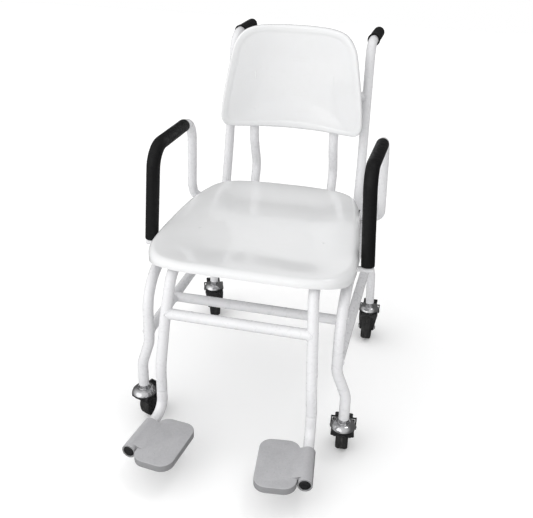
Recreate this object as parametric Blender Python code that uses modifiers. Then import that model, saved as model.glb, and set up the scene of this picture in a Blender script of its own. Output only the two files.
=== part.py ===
"""A castored chair scale: a wheeled tube chassis carries a load cell, and the seat, backrest, armrests
and footrests stand on that cell.

Metres, +Z up. The origin is on the floor, on the plane of symmetry, under the middle of the whole chair.
The sitter faces -Y, so the sitter's left side is +X. The sizes below are drawn from a point on the floor
midway between the front and rear castor stems, and the last lines move everything to the origin.
"""

from math import ceil, cos, pi, radians, sin, tan

import bmesh
import bpy
from mathutils import Matrix, Vector

TO_MIDDLE = Vector((0.0058, 0.0229, 0.0))  # brings the middle of the whole chair over the origin
GAP = 0.0003  # between pieces that touch or rest on each other
ROUND = 4  # bevel resolution of the main tubes: twelve sides
BEND_STEP = radians(22.5)

# Tubes
TUBE_R = 0.0125
REST_BAR_R = 0.0065
SEAT_LEVEL_Z = 0.415  # centreline of the chassis tubes under the seat
RUN_Z = 0.4400  # centreline of the weighed tubes under the seat
LEG_END_Z = 0.1053
RAIL_Z = 0.265

# Castors
STEM_FRONT = Vector((0.249, -0.285, 0))
STEM_REAR = Vector((0.252, 0.283, 0))
WHEEL_SIDES = 24
WHEEL_R = 0.0375
WHEEL_HALF_WIDTH = 0.0150
AXLE_Z = WHEEL_R * cos(pi / WHEEL_SIDES)
TRAIL = 0.030
FORK_HALF_WIDTH = 0.0270
CROWN_LOW, CROWN_HIGH, CROWN_R = 0.0763, 0.0825, 0.0285
AXLE_R = 0.0040
STEM_SIDES = 16
PEDAL_PIVOT = (0.019, 0.0680)
PEDAL_HALF_WIDTH = 0.0310
PEDAL_TREAD_HALF_WIDTH = 0.0215

# Armrests
PIVOT_Y, PIVOT_Z = 0.147, 0.4435
PIVOT_TUBE_R, PIVOT_TUBE_HALF_LENGTH = 0.016, 0.205
ARM_TOP_Z = 0.674
PAD_R, PAD_START, PAD_LENGTH = 0.016, 0.0015, 0.424
REST_BAR_Y, REST_BAR_Z = -0.166, 0.4375

# Footrests
FOOT_AXIS_BACK = Vector((0.1850, -0.3845, 0.081))
FOOT_AXIS_FRONT = Vector((0.19709, -0.48798, 0.081))
FOOT_SEAM = Vector((0.1794, -0.3368, 0.140))
FOOTPLATE_REAR, FOOTPLATE_FRONT = -0.0155, 0.1325
FOOTPLATE_EDGE, FOOTPLATE_REACH = 0.0172, 0.109  # from the hinge axis, inboard
FOOTPLATE_CORNER_R, FOOTPLATE_CORNER_STEPS = 0.028, 6
FOOTPLATE_LOW, FOOTPLATE_HIGH = -0.008, 0.009
HUB_R, HUB_REAR, HUB_FRONT = 0.0165, 0.0065, 0.100

# Seat and backrest shells
SHELL = 0.004
ROLL_ANGLES = (radians(45), radians(90))  # facets of the shells' rolled edges
SEAT_BOSSES = ((-0.120, 0.4745), (0.040, 0.4950))  # where each pair stands, and its top in the shell
BACK_Y, BACK_CURVE = 0.2095, 1.30  # the backrest's centre line, and how fast its sides come forward
BACK_TUBE_X, BACK_TUBE_Y, BACK_TUBE_TOP = 0.112, 0.2240, 0.820

# Push bar and display
CROSSBAR_Y, CROSSBAR_Z = 0.268, 0.740
DISPLAY = Vector((0.0, 0.313, 0.765))
DISPLAY_SIZE = Vector((0.190, 0.034, 0.110))
DISPLAY_TILT = radians(20)
KEY_XS = (-0.055, 0.0, 0.055)

# Load cell
CELL_FRONT, CELL_REAR = -0.090, 0.080
CELL_LOW, CELL_HIGH, CELL_HALF_WIDTH = 0.3982, 0.4222, 0.017

for old in list(bpy.data.objects):
    bpy.data.objects.remove(old, do_unlink=True)

parts = bpy.data.collections.new("chair_scale")
cutters = bpy.data.collections.new("cutters")
bpy.context.scene.collection.children.link(parts)
bpy.context.scene.collection.children.link(cutters)


# ---------------------------------------------------------------- materials


def material(name, colour, roughness, metallic=0.0):
    made = bpy.data.materials.new(name)
    made.use_nodes = True
    shader = made.node_tree.nodes["Principled BSDF"]
    shader.inputs["Base Color"].default_value = (*colour, 1.0)
    shader.inputs["Roughness"].default_value = roughness
    shader.inputs["Metallic"].default_value = metallic
    made.diffuse_color = (*colour, 1.0)
    return made


WHITE_PAINT = material("white_paint", (0.86, 0.86, 0.87), 0.35)
WHITE_SHELL = material("white_shell", (0.88, 0.88, 0.89), 0.15)
BLACK_FOAM = material("black_foam", (0.020, 0.020, 0.021), 0.85)
BLACK_PLASTIC = material("black_plastic", (0.025, 0.025, 0.027), 0.45)
BLACK_RUBBER = material("black_rubber", (0.022, 0.022, 0.023), 0.75)
GREY_PLATE = material("grey_plate", (0.42, 0.42, 0.43), 0.60)
CHROME = material("chrome", (0.80, 0.80, 0.82), 0.12, 1.0)
STEEL = material("steel", (0.60, 0.60, 0.62), 0.30, 1.0)
ALUMINIUM = material("aluminium", (0.72, 0.73, 0.75), 0.35, 1.0)
DISPLAY_CASE = material("display_case", (0.75, 0.76, 0.77), 0.40)
DISPLAY_GLASS = material("display_glass", (0.05, 0.07, 0.06), 0.10)
KEY_RUBBER = material("key_rubber", (0.20, 0.28, 0.40), 0.55)


# ---------------------------------------------------------------- making and cutting


def add(name, mesh, look, collection=parts):
    made = bpy.data.objects.new(name, mesh)
    mesh.materials.clear()
    mesh.materials.append(look)
    collection.objects.link(made)
    if collection is cutters:
        made.hide_render = True
        made.display_type = "WIRE"
    return made


def smooth(mesh, angle=40):
    mesh.shade_smooth()
    mesh.set_sharp_from_angle(angle=radians(angle))


def rounded_path(corners, radii, step=BEND_STEP):
    """The centreline of a bent tube: straight runs between the corners, joined by round bends."""
    corners = [Vector(c) for c in corners]
    path = [corners[0]]
    for before, corner, after, radius in zip(corners, corners[1:], corners[2:], radii):
        back = (before - corner).normalized()
        on = (after - corner).normalized()
        turn = pi - back.angle(on)
        start = corner + back * radius * tan(turn / 2)
        centre = corner + (back + on).normalized() * radius / cos(turn / 2)
        normal = (-back).cross(on).normalized()
        count = max(2, ceil(turn / step))
        path += [
            centre + Matrix.Rotation(turn * i / count, 3, normal) @ (start - centre)
            for i in range(count + 1)
        ]
    return path + [corners[-1]]


def mirrored(points, side):
    """The same points on the sitter's left (side 1) or right (side -1)."""
    return [Vector((side * p[0], p[1], p[2])) for p in points]


def tube(name, path, radius, look, resolution=ROUND, collection=parts):
    """A round tube along the path, drawn as a bevelled curve and kept as a mesh so it can be cut."""
    curve = bpy.data.curves.new(name, "CURVE")
    curve.dimensions = "3D"
    curve.bevel_depth = radius
    curve.bevel_resolution = resolution
    curve.use_fill_caps = True
    spline = curve.splines.new("POLY")
    spline.points.add(len(path) - 1)
    for point, place in zip(spline.points, path):
        point.co = (*place, 1.0)
    drawn = bpy.data.objects.new(name + "_curve", curve)
    bpy.context.scene.collection.objects.link(drawn)
    graph = bpy.context.evaluated_depsgraph_get()
    mesh = bpy.data.meshes.new_from_object(drawn.evaluated_get(graph))
    bpy.data.objects.remove(drawn, do_unlink=True)
    bm = bmesh.new()
    bm.from_mesh(mesh)
    bmesh.ops.remove_doubles(bm, verts=bm.verts, dist=1e-5)
    bmesh.ops.recalc_face_normals(bm, faces=bm.faces)
    bm.to_mesh(mesh)
    bm.free()
    smooth(mesh)
    return add(name, mesh, look, collection)


def turned(name, profile, look, place, axis=(0, 0, 1), steps=24, turn=0.0, closed=False, collection=parts):
    """A turned piece: (radius, height) points, top to bottom, swept about the axis. A ring is closed."""
    mesh = bpy.data.meshes.new(name)
    points = [(cos(turn) * r, sin(turn) * r, z) for r, z in profile]
    edges = [(i, i + 1) for i in range(len(points) - 1)]
    if closed:
        edges.append((len(points) - 1, 0))
    mesh.from_pydata(points, edges, [])
    made = add(name, mesh, look, collection)
    made.location = place
    made.rotation_euler = Vector(axis).to_track_quat("Z", "Y").to_euler()
    screw = made.modifiers.new("turn", "SCREW")
    screw.steps = screw.render_steps = steps
    screw.use_merge_vertices = True
    screw.merge_threshold = 1e-5
    return made


def box(name, low, high, look, collection=parts):
    low, high = Vector(low), Vector(high)
    bm = bmesh.new()
    bmesh.ops.create_cube(bm, size=1.0)
    bmesh.ops.scale(bm, vec=high - low, verts=bm.verts)
    bmesh.ops.translate(bm, vec=(low + high) / 2, verts=bm.verts)
    mesh = bpy.data.meshes.new(name)
    bm.to_mesh(mesh)
    bm.free()
    return add(name, mesh, look, collection)


def flat(name, outline, half_thickness, look, collection=parts):
    """A flat outline in the XY plane, extruded half its thickness each way, kept as a mesh."""
    curve = bpy.data.curves.new(name, "CURVE")
    curve.dimensions = "2D"
    curve.fill_mode = "BOTH"
    curve.extrude = half_thickness
    spline = curve.splines.new("POLY")
    spline.points.add(len(outline) - 1)
    for point, (x, y) in zip(spline.points, outline):
        point.co = (x, y, 0.0, 1.0)
    spline.use_cyclic_u = True
    drawn = bpy.data.objects.new(name + "_curve", curve)
    bpy.context.scene.collection.objects.link(drawn)
    graph = bpy.context.evaluated_depsgraph_get()
    mesh = bpy.data.meshes.new_from_object(drawn.evaluated_get(graph))
    bpy.data.objects.remove(drawn, do_unlink=True)
    bm = bmesh.new()
    bm.from_mesh(mesh)
    bmesh.ops.remove_doubles(bm, verts=bm.verts, dist=1e-6)
    bmesh.ops.recalc_face_normals(bm, faces=bm.faces)
    bm.to_mesh(mesh)
    bm.free()
    return add(name, mesh, look, collection)


def bevelled(made, width, segments=2, angle=50):
    bevel = made.modifiers.new("edges", "BEVEL")
    bevel.width = width
    bevel.segments = segments
    bevel.limit_method = "ANGLE"
    bevel.angle_limit = radians(angle)
    return made


def combine(made, tool, operation="DIFFERENCE"):
    boolean = made.modifiers.new(operation.lower(), "BOOLEAN")
    boolean.operation = operation
    boolean.object = tool
    return made


def cope(made, path, radius=TUBE_R):
    """Cuts the saddle where this tube's end meets another tube."""
    tool = tube(made.name + "_saddle", path, radius + GAP, made.data.materials[0], collection=cutters)
    return combine(made, tool)


def cope_pivot(made):
    """Cuts the saddle where this tube's end meets the armrest pivot tube."""
    length = PIVOT_TUBE_HALF_LENGTH
    tool = turned(
        made.name + "_pivot_saddle",
        [(0, length), (PIVOT_TUBE_R + GAP, length), (PIVOT_TUBE_R + GAP, -length), (0, -length)],
        made.data.materials[0],
        (0, PIVOT_Y, PIVOT_Z),
        (1, 0, 0),
        collection=cutters,
    )
    return combine(made, tool)


def rounded_rectangle(low, high, radius, steps=4):
    """Corners of a rectangle, each an arc."""
    points = []
    for k, (cx, cy) in enumerate(
        (
            (high[0] - radius, high[1] - radius),
            (low[0] + radius, high[1] - radius),
            (low[0] + radius, low[1] + radius),
            (high[0] - radius, low[1] + radius),
        )
    ):
        for i in range(steps + 1):
            a = pi / 2 * (k + i / steps)
            points.append((cx + radius * cos(a), cy + radius * sin(a)))
    return points


# ---------------------------------------------------------------- chassis


def leg_path(side):
    corners = [
        STEM_FRONT + Vector((0, 0, LEG_END_Z)),
        (0.2490, -0.2850, 0.168),
        (0.2245, -0.2945, 0.238),
        (0.2245, -0.2935, SEAT_LEVEL_Z),
        (0.2245, 0.1000, SEAT_LEVEL_Z),
        (0.2010, 0.2290, SEAT_LEVEL_Z),
    ]
    return mirrored(rounded_path(corners, (0.07, 0.07, 0.10, 0.15)), side)


def upright_path(side):
    corners = [
        STEM_REAR + Vector((0, 0, LEG_END_Z)),
        (0.2475, 0.2830, 0.205),
        (0.1935, 0.2185, 0.447),
        (0.1925, 0.2450, 0.560),
        (0.1872, 0.2867, 0.8795),
        (0.1899, 0.4700, 0.8879),
    ]
    return mirrored(rounded_path(corners, (0.08, 0.10, 0.15, 0.05)), side)


def rail_path(side):
    return mirrored([(0.2262, -0.2900, RAIL_Z), (0.2370, 0.2700, RAIL_Z)], side)


def drill_stem_socket(leg, stem):
    """The bore in a leg's end that holds a castor's stem."""
    tool = turned(
        leg.name + "_socket",
        [(0, 0.040), (0.0064, 0.040), (0.0064, -0.01), (0, -0.01)],
        WHITE_PAINT,
        (stem.x, stem.y, LEG_END_Z),
        steps=16,
        collection=cutters,
    )
    combine(leg, tool)


def chassis(side, hand):
    upright = tube(f"rear_upright_{hand}", upright_path(side), TUBE_R, WHITE_PAINT)
    drill_stem_socket(upright, mirrored([STEM_REAR], side)[0])
    leg = tube(f"front_leg_tube_{hand}", leg_path(side), TUBE_R, WHITE_PAINT)
    cope(leg, upright_path(side))
    drill_stem_socket(leg, mirrored([STEM_FRONT], side)[0])
    rail = tube(f"lower_rail_{hand}", rail_path(side), TUBE_R, WHITE_PAINT)
    cope(rail, leg_path(side))
    cope(rail, upright_path(side))
    grip_base, grip_end = upright_path(side)[-2:]
    along = (grip_end - grip_base).normalized()
    turned(
        f"push_grip_{hand}",
        [
            (0.0, 0.0097),
            (0.0070, 0.0085),
            (0.0130, 0.0040),
            (0.0155, -0.0030),
            (0.0160, -0.0100),
            (0.0160, -0.1260),
            (0.0172, -0.1285),
            (0.0172, -0.1320),
            (0.0131, -0.1320),
            (0.0131, GAP),
            (0.0, GAP),
        ],
        BLACK_FOAM,
        grip_end,
        along,
        steps=16,
    )


def chassis_crossbars():
    lower = tube(
        "lower_crossbar",
        [(-0.2290, -0.1165, RAIL_Z), (0.2290, -0.1165, RAIL_Z)],
        TUBE_R,
        WHITE_PAINT,
    )
    upper = tube(
        "push_crossbar",
        [(-0.190, CROSSBAR_Y, CROSSBAR_Z), (0.190, CROSSBAR_Y, CROSSBAR_Z)],
        TUBE_R,
        WHITE_PAINT,
    )
    for side in (1, -1):
        cope(lower, rail_path(side))
        cope(upper, upright_path(side))


def chassis_beam():
    """A bent flat beam between the chassis tubes that dips under the load cell."""
    end = 0.2245 - TUBE_R - GAP
    top = [(0.120, CELL_LOW - GAP), (0.150, 0.4215), (end, 0.4215)]
    low = [(end, 0.4040), (0.156, 0.4040), (0.126, 0.3780)]
    right = top + low
    left = [(-x, z) for x, z in reversed(right)]
    beam = flat("chassis_beam", right + left, 0.025, WHITE_PAINT)
    beam.rotation_euler = (pi / 2, 0, 0)
    beam.location = (0, CELL_FRONT + 0.027, 0)


# ---------------------------------------------------------------- castors


def fork_outline():
    """Side view of the fork: crown on top, boss round the axle."""
    boss = 0.0105
    arc = [
        (TRAIL + boss * cos(a), AXLE_Z + boss * sin(a))
        for a in (radians(205 + 37.5 * i) for i in range(5))
    ]
    leading = [(-0.0160, CROWN_HIGH), (-0.0180, 0.0660), (-0.0070, 0.0580)]
    trailing = [(0.0360, 0.0660), (0.0285, CROWN_HIGH)]
    return leading + arc + trailing


def pedal_outline():
    """Side view of the pedal's arm: a round eye on the pivot, rising to the tread plate."""
    x, z = PEDAL_PIVOT
    eye = 0.0062
    arc = [
        (x + eye * cos(a), z + eye * sin(a)) for a in (radians(120 + 45 * i) for i in range(5))
    ]
    return [*arc, (0.0330, 0.0766), (0.0372, 0.0775), (0.0372, 0.0822), (0.0318, 0.0820)]


PEDAL_TREADS = {
    "front": ((0.0340, 0.0782), (0.0470, 0.0800), (0.0490, 0.0822), (0.0470, 0.0846), (0.0340, 0.0838)),
    "rear": ((0.0340, 0.0782), (0.0540, 0.0838), (0.0562, 0.0866), (0.0540, 0.0896), (0.0340, 0.0838)),
}


def on_edge(made, carrier):
    """Stands an XY outline up, so that its Y runs along the carrier's Z."""
    made.parent = carrier
    made.rotation_euler = (pi / 2, 0, 0)
    return made


def castor(name, stem, heading, pedal_side):
    """One swivel castor: heading is the way the wheel trails, pedal_side 1 puts the pedal over it."""
    carrier = bpy.data.objects.new(f"castor_{name}", None)
    parts.objects.link(carrier)
    carrier.location = stem
    carrier.rotation_euler = (0, 0, heading)

    turned(
        f"castor_stem_{name}",
        [
            (0.0, 0.1430),
            (0.0060, 0.1430),
            (0.0060, 0.1035),
            (0.0098, 0.1035),
            (0.0098, 0.0960),
            (0.0190, 0.0942),
            (0.0225, 0.0962),
            (0.0270, 0.0945),
            (0.0300, 0.0870),
            (0.0300, CROWN_HIGH + GAP),
            (0.0062, CROWN_HIGH + GAP),
            (0.0062, CROWN_LOW - GAP),
            (0.0085, CROWN_LOW - GAP),
            (0.0085, 0.0710),
            (0.0, 0.0710),
        ],
        CHROME,
        stem,
        steps=STEM_SIDES,
    )

    side_view = flat(f"castor_fork_{name}", fork_outline(), FORK_HALF_WIDTH, BLACK_PLASTIC)
    fork = on_edge(side_view, carrier)
    crown = turned(
        f"crown_{name}",
        [(0, CROWN_HIGH), (CROWN_R, CROWN_HIGH), (CROWN_R, CROWN_LOW), (0, CROWN_LOW)],
        BLACK_PLASTIC,
        (0, 0, 0),
        steps=STEM_SIDES,
        collection=cutters,
    )
    pocket = box(
        f"pocket_{name}",
        (-0.040, -WHEEL_HALF_WIDTH - 0.0010, -0.010),
        (0.085, WHEEL_HALF_WIDTH + 0.0010, CROWN_LOW),
        BLACK_PLASTIC,
        cutters,
    )
    bore = turned(
        f"bore_{name}",
        [(0, 0.095), (0.0067, 0.095), (0.0067, 0.070), (0, 0.070)],
        BLACK_PLASTIC,
        (0, 0, 0),
        steps=12,
        collection=cutters,
    )
    axle_hole = turned(
        f"axle_hole_{name}",
        [(0, 0.04), (AXLE_R + 0.0004, 0.04), (AXLE_R + 0.0004, -0.04), (0, -0.04)],
        BLACK_PLASTIC,
        (TRAIL, 0, AXLE_Z),
        (0, 1, 0),
        steps=12,
        collection=cutters,
    )
    for tool in (crown, pocket, bore, axle_hole):
        tool.parent = carrier
    combine(fork, crown, "UNION")
    for tool in (pocket, bore, axle_hole):
        combine(fork, tool)

    wheel = turned(
        f"castor_wheel_{name}",
        [
            (WHEEL_R, 0.0115),
            (WHEEL_R, -0.0115),
            (WHEEL_R - 0.0040, -WHEEL_HALF_WIDTH),
            (AXLE_R + 0.0003, -WHEEL_HALF_WIDTH),
            (AXLE_R + 0.0003, WHEEL_HALF_WIDTH),
            (WHEEL_R - 0.0040, WHEEL_HALF_WIDTH),
        ],
        BLACK_RUBBER,
        (TRAIL, 0, AXLE_Z),
        (0, 1, 0),
        steps=WHEEL_SIDES,
        turn=pi / WHEEL_SIDES,
        closed=True,
    )
    wheel.parent = carrier
    head = FORK_HALF_WIDTH + GAP
    axle = turned(
        f"castor_axle_{name}",
        [
            (0.0, head + 0.0025),
            (0.0060, head + 0.0025),
            (0.0060, head),
            (AXLE_R, head),
            (AXLE_R, -head),
            (0.0060, -head),
            (0.0060, -head - 0.0025),
            (0.0, -head - 0.0025),
        ],
        STEEL,
        (TRAIL, 0, AXLE_Z),
        (0, 1, 0),
        steps=12,
    )
    axle.parent = carrier

    hinge = bpy.data.objects.new(f"pedal_pivot_{name}", None)
    parts.objects.link(hinge)
    hinge.parent = carrier
    hinge.location = (pedal_side * PEDAL_PIVOT[0], 0, PEDAL_PIVOT[1])
    outline = [
        (pedal_side * (x - PEDAL_PIVOT[0]), z - PEDAL_PIVOT[1]) for x, z in pedal_outline()
    ]
    arms = flat(f"brake_pedal_{name}", outline, PEDAL_HALF_WIDTH, BLACK_PLASTIC)
    pedal = on_edge(arms, hinge)
    reach = 0.0342 - PEDAL_PIVOT[0]
    inside = sorted((-pedal_side * 0.02, pedal_side * reach))
    room = box(
        f"pedal_room_{name}",
        (inside[0], -FORK_HALF_WIDTH - GAP, -0.02),
        (inside[1], FORK_HALF_WIDTH + GAP, 0.04),
        BLACK_PLASTIC,
        cutters,
    )
    room.parent = hinge
    side_view = PEDAL_TREADS[name.split("_")[0]]
    tread = [(pedal_side * (x - PEDAL_PIVOT[0]), z - PEDAL_PIVOT[1]) for x, z in side_view]
    bar = flat(f"pedal_tread_{name}", tread, PEDAL_TREAD_HALF_WIDTH, BLACK_PLASTIC, cutters)
    plate = on_edge(bar, hinge)
    combine(pedal, room)
    combine(pedal, plate, "UNION")


# ---------------------------------------------------------------- armrests


def armrest_path(side):
    corners = [
        (0.2630, -0.1655, REST_BAR_Z + REST_BAR_R + 0.0012),
        (0.2495, -0.1630, ARM_TOP_Z),
        (0.2580, 0.1215, ARM_TOP_Z),
        (0.2635, 0.1270, 0.4900),
        (0.2640, PIVOT_Y, PIVOT_Z),
        (0.1200, PIVOT_Y, PIVOT_Z),
    ]
    return mirrored(rounded_path(corners, (0.05, 0.06, 0.05, 0.026)), side)


def shortened(path, start, length):
    """The stretch of a path that begins this far from its start and runs for this length."""
    kept = []
    gone = 0.0
    for a, b in zip(path, path[1:]):
        run = (b - a).length
        for mark in (start, start + length):
            if gone <= mark < gone + run:
                kept.append(a + (b - a) * (mark - gone) / run)
        gone += run
        if start < gone < start + length:
            kept.append(b)
    return kept


def armrest(side, hand):
    path = armrest_path(side)
    tube(f"armrest_tube_{hand}", path, TUBE_R, WHITE_PAINT)
    foam = shortened(path, PAD_START, PAD_LENGTH)
    pad = tube(f"armrest_pad_{hand}", foam, PAD_R, BLACK_FOAM)
    hole = shortened(path, PAD_START / 10, PAD_LENGTH + 0.03)
    bore_r = TUBE_R + 0.0004
    combine(pad, tube(f"pad_bore_{hand}", hole, bore_r, BLACK_FOAM, collection=cutters))


def weighed_frame():
    tube(
        "armrest_rest_bar",
        [(-0.2760, REST_BAR_Y, REST_BAR_Z), (0.2760, REST_BAR_Y, REST_BAR_Z)],
        REST_BAR_R,
        WHITE_PAINT,
    )
    turned(
        "armrest_pivot_tube",
        [
            (PIVOT_TUBE_R, PIVOT_TUBE_HALF_LENGTH),
            (PIVOT_TUBE_R, -PIVOT_TUBE_HALF_LENGTH),
            (TUBE_R + 0.0006, -PIVOT_TUBE_HALF_LENGTH),
            (TUBE_R + 0.0006, PIVOT_TUBE_HALF_LENGTH),
        ],
        WHITE_PAINT,
        (0, PIVOT_Y, PIVOT_Z),
        (1, 0, 0),
        closed=True,
    )


# ---------------------------------------------------------------- footrests


def foot_frame_path(side):
    corners = [
        FOOT_SEAM + Vector((0, 0, GAP)),
        FOOT_SEAM + Vector((0, 0, 0.014)),
        (0.1775, -0.3430, 0.205),
        (0.1700, -0.3240, 0.330),
        (0.1610, -0.2960, RUN_Z),
        (0.1600, PIVOT_Y, RUN_Z),
    ]
    return mirrored(rounded_path(corners, (0.10, 0.15, 0.15, 0.045)), side)


def foot_elbow_path(side):
    forward = (FOOT_AXIS_FRONT - FOOT_AXIS_BACK).normalized()
    corner = FOOT_AXIS_BACK - forward * (FOOT_SEAM.y - FOOT_AXIS_BACK.y) / -forward.y
    return mirrored(rounded_path([FOOT_SEAM, corner, FOOT_AXIS_FRONT], (0.036,)), side)


def footrest(side, hand):
    frame_tube = tube(f"foot_frame_tube_{hand}", foot_frame_path(side), TUBE_R, WHITE_PAINT)
    cope_pivot(frame_tube)
    hole = tube(
        f"bar_hole_{hand}",
        [(side * 0.12, REST_BAR_Y, REST_BAR_Z), (side * 0.2, REST_BAR_Y, REST_BAR_Z)],
        REST_BAR_R + 0.0004,
        WHITE_PAINT,
        collection=cutters,
    )
    combine(frame_tube, hole)
    elbow = foot_elbow_path(side)
    tube(f"foot_elbow_{hand}", elbow, TUBE_R, WHITE_PAINT)
    forward = (elbow[-1] - elbow[-2]).normalized()
    turned(
        f"foot_tube_plug_{hand}",
        [(0, 0.0040), (0.0112, 0.0040), (TUBE_R, 0.0028), (TUBE_R, 0), (0, 0)],
        BLACK_PLASTIC,
        elbow[-1] + forward * GAP,
        forward,
    )
    footplate(side, hand, forward)


def footplate(side, hand, forward):
    """The plate and its hub share an origin on the tube's axis, X forward and -side * Y inboard."""
    carrier = bpy.data.objects.new(f"footplate_hinge_{hand}", None)
    parts.objects.link(carrier)
    carrier.location = mirrored([FOOT_AXIS_BACK], side)[0]
    carrier.rotation_euler = Vector(forward).to_track_quat("X", "Z").to_euler()
    middle = (FOOTPLATE_LOW + FOOTPLATE_HIGH) / 2
    half = (FOOTPLATE_HIGH - FOOTPLATE_LOW) / 2
    low, high = (FOOTPLATE_REAR, FOOTPLATE_EDGE), (FOOTPLATE_FRONT, FOOTPLATE_REACH)
    per_corner = FOOTPLATE_CORNER_STEPS + 1
    corners = rounded_rectangle(low, high, FOOTPLATE_CORNER_R, FOOTPLATE_CORNER_STEPS)
    front, rear, inboard, outboard = (
        corners[i * per_corner : (i + 1) * per_corner] for i in range(4)
    )
    web_back, web_front = HUB_REAR + 0.0006, HUB_FRONT - 0.0006
    web = [(web_back, 0.0180), (web_back, 0.0), (web_front, 0.0), (web_front, FOOTPLATE_EDGE)]
    outline = front + rear + [p for p in inboard if p[0] < HUB_REAR] + web + outboard
    plate = flat(f"footplate_{hand}", [(x, -side * y) for x, y in outline], half, GREY_PLATE)
    plate.parent = carrier
    plate.location = (0, 0, middle)
    hub = turned(
        f"hub_{hand}",
        [(0, HUB_FRONT), (HUB_R, HUB_FRONT), (HUB_R, HUB_REAR), (0, HUB_REAR)],
        GREY_PLATE,
        (0, 0, 0),
        (1, 0, 0),
        collection=cutters,
    )
    bore = turned(
        f"hub_bore_{hand}",
        [(0, 0.14), (TUBE_R + 0.0006, 0.14), (TUBE_R + 0.0006, -0.03), (0, -0.03)],
        GREY_PLATE,
        (0, 0, 0),
        (1, 0, 0),
        collection=cutters,
    )
    for tool in (hub, bore):
        tool.parent = carrier
    combine(plate, hub, "UNION")
    combine(plate, bore)


def foot_crossbar():
    bar = tube("foot_crossbar", [(-0.170, -0.3215, 0.340), (0.170, -0.3215, 0.340)], TUBE_R, WHITE_PAINT)
    for side in (1, -1):
        cope(bar, foot_frame_path(side))


# ---------------------------------------------------------------- seat


def smoothstep(t):
    t = min(max(t, 0.0), 1.0)
    return t * t * (3 - 2 * t)


def seat_rim_z(y):
    return 0.465 + 0.037 * smoothstep((y + 0.315) / 0.34)


def seat_skirt_z(y):
    """The skirt hangs lowest at the front corners and rises over the rest bar and the armrest pivots."""
    front = 0.008 * smoothstep((-y - 0.260) / 0.050)
    rest_bar = 0.008 * smoothstep((y + 0.270) / 0.090)
    pivots = 0.020 * smoothstep((y + 0.170) / 0.250)
    return 0.438 + front + rest_bar + pivots


def spline_through(points, steps):
    """A smooth curve through the points (Catmull-Rom), closed."""
    count = len(points)
    curve = []
    for i in range(count):
        a, b, c, d = (Vector(points[(i + k) % count]) for k in (-1, 0, 1, 2))
        for s in range(steps):
            t = s / steps
            curve.append(
                b
                + 0.5 * (c - a) * t
                + 0.5 * (2 * a - 5 * b + 4 * c - d) * t**2
                + 0.5 * (3 * b - a - 3 * c + d) * t**3
            )
    return curve


SEAT_HALF = (
    (0.080, -0.3150),
    (0.150, -0.3120),
    (0.205, -0.2930),
    (0.236, -0.2480),
    (0.2425, -0.1880),
    (0.2300, -0.0650),
    (0.2170, 0.0330),
    (0.2070, 0.0850),
    (0.1880, 0.1350),
    (0.1450, 0.1670),
    (0.0700, 0.1800),
)
BACKREST_HALF = (
    (0.080, 0.6500),
    (0.150, 0.6500),
    (0.178, 0.6540),
    (0.1905, 0.6720),
    (0.1905, 0.7000),
    (0.1840, 0.7520),
    (0.1670, 0.8450),
    (0.1560, 0.8790),
    (0.1340, 0.9050),
    (0.1000, 0.9170),
    (0.0500, 0.9210),
)


def whole_outline(half, start, end, steps=2):
    """Both halves of a symmetric outline, with a point on the centre line at each end."""
    left = [(0.0, start), *half, (0.0, end)]
    right = [(-x, y) for x, y in reversed(half)]
    return spline_through(left + right, steps)


def rings_mesh(name, rings, centre):
    """Skins a stack of rings with the same number of points, and closes the last one on a point."""
    bm = bmesh.new()
    rows = [[bm.verts.new(p) for p in ring] for ring in rings]
    tip = bm.verts.new(centre)
    for inner, outer in zip(rows[1:], rows):
        for i in range(len(outer)):
            j = (i + 1) % len(outer)
            bm.faces.new((outer[i], outer[j], inner[j], inner[i]))
    last = rows[-1]
    for i in range(len(last)):
        bm.faces.new((last[i], last[(i + 1) % len(last)], tip))
    bmesh.ops.recalc_face_normals(bm, faces=bm.faces)
    mesh = bpy.data.meshes.new(name)
    bm.to_mesh(mesh)
    bm.free()
    smooth(mesh, 60)
    return mesh


def shrunk(p, middle, inset):
    away = p - middle
    return middle + away * (1 - inset / away.length)


def seat_shell():
    """A dished seat with a rolled edge and a skirt that hides the tubes, on four bosses."""
    outline = whole_outline(SEAT_HALF, -0.3155, 0.1820)
    middle = Vector((0.0, -0.060))
    roll = 0.016
    rows = [(0.0, None), (0.0, roll)]
    rows += [(roll * (1 - cos(a)), roll * (1 - sin(a))) for a in ROLL_ANGLES]
    rows += [(0.050, 0.0030), (0.110, 0.0120)]
    rings = []
    for inset, drop in rows:
        ring = []
        for p in outline:
            q = shrunk(p, middle, inset)
            z = seat_skirt_z(p.y) if drop is None else seat_rim_z(q.y) - drop
            ring.append((q.x, q.y, z))
        rings.append(ring)
    mesh = rings_mesh("seat_shell", rings, (0, middle.y, seat_rim_z(middle.y) - 0.0150))
    seat = add("seat_shell", mesh, WHITE_SHELL)
    thickness(seat)
    for side in (1, -1):
        for y, top in SEAT_BOSSES:
            boss = box(
                f"seat_boss_{side}_{y}",
                (side * 0.160 - 0.010, y - 0.012, RUN_Z + TUBE_R + GAP),
                (side * 0.160 + 0.010, y + 0.012, top),
                WHITE_SHELL,
                cutters,
            )
            combine(seat, boss, "UNION")


def thickness(made):
    wall = made.modifiers.new("wall", "SOLIDIFY")
    wall.thickness = SHELL
    wall.offset = -1.0


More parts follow.
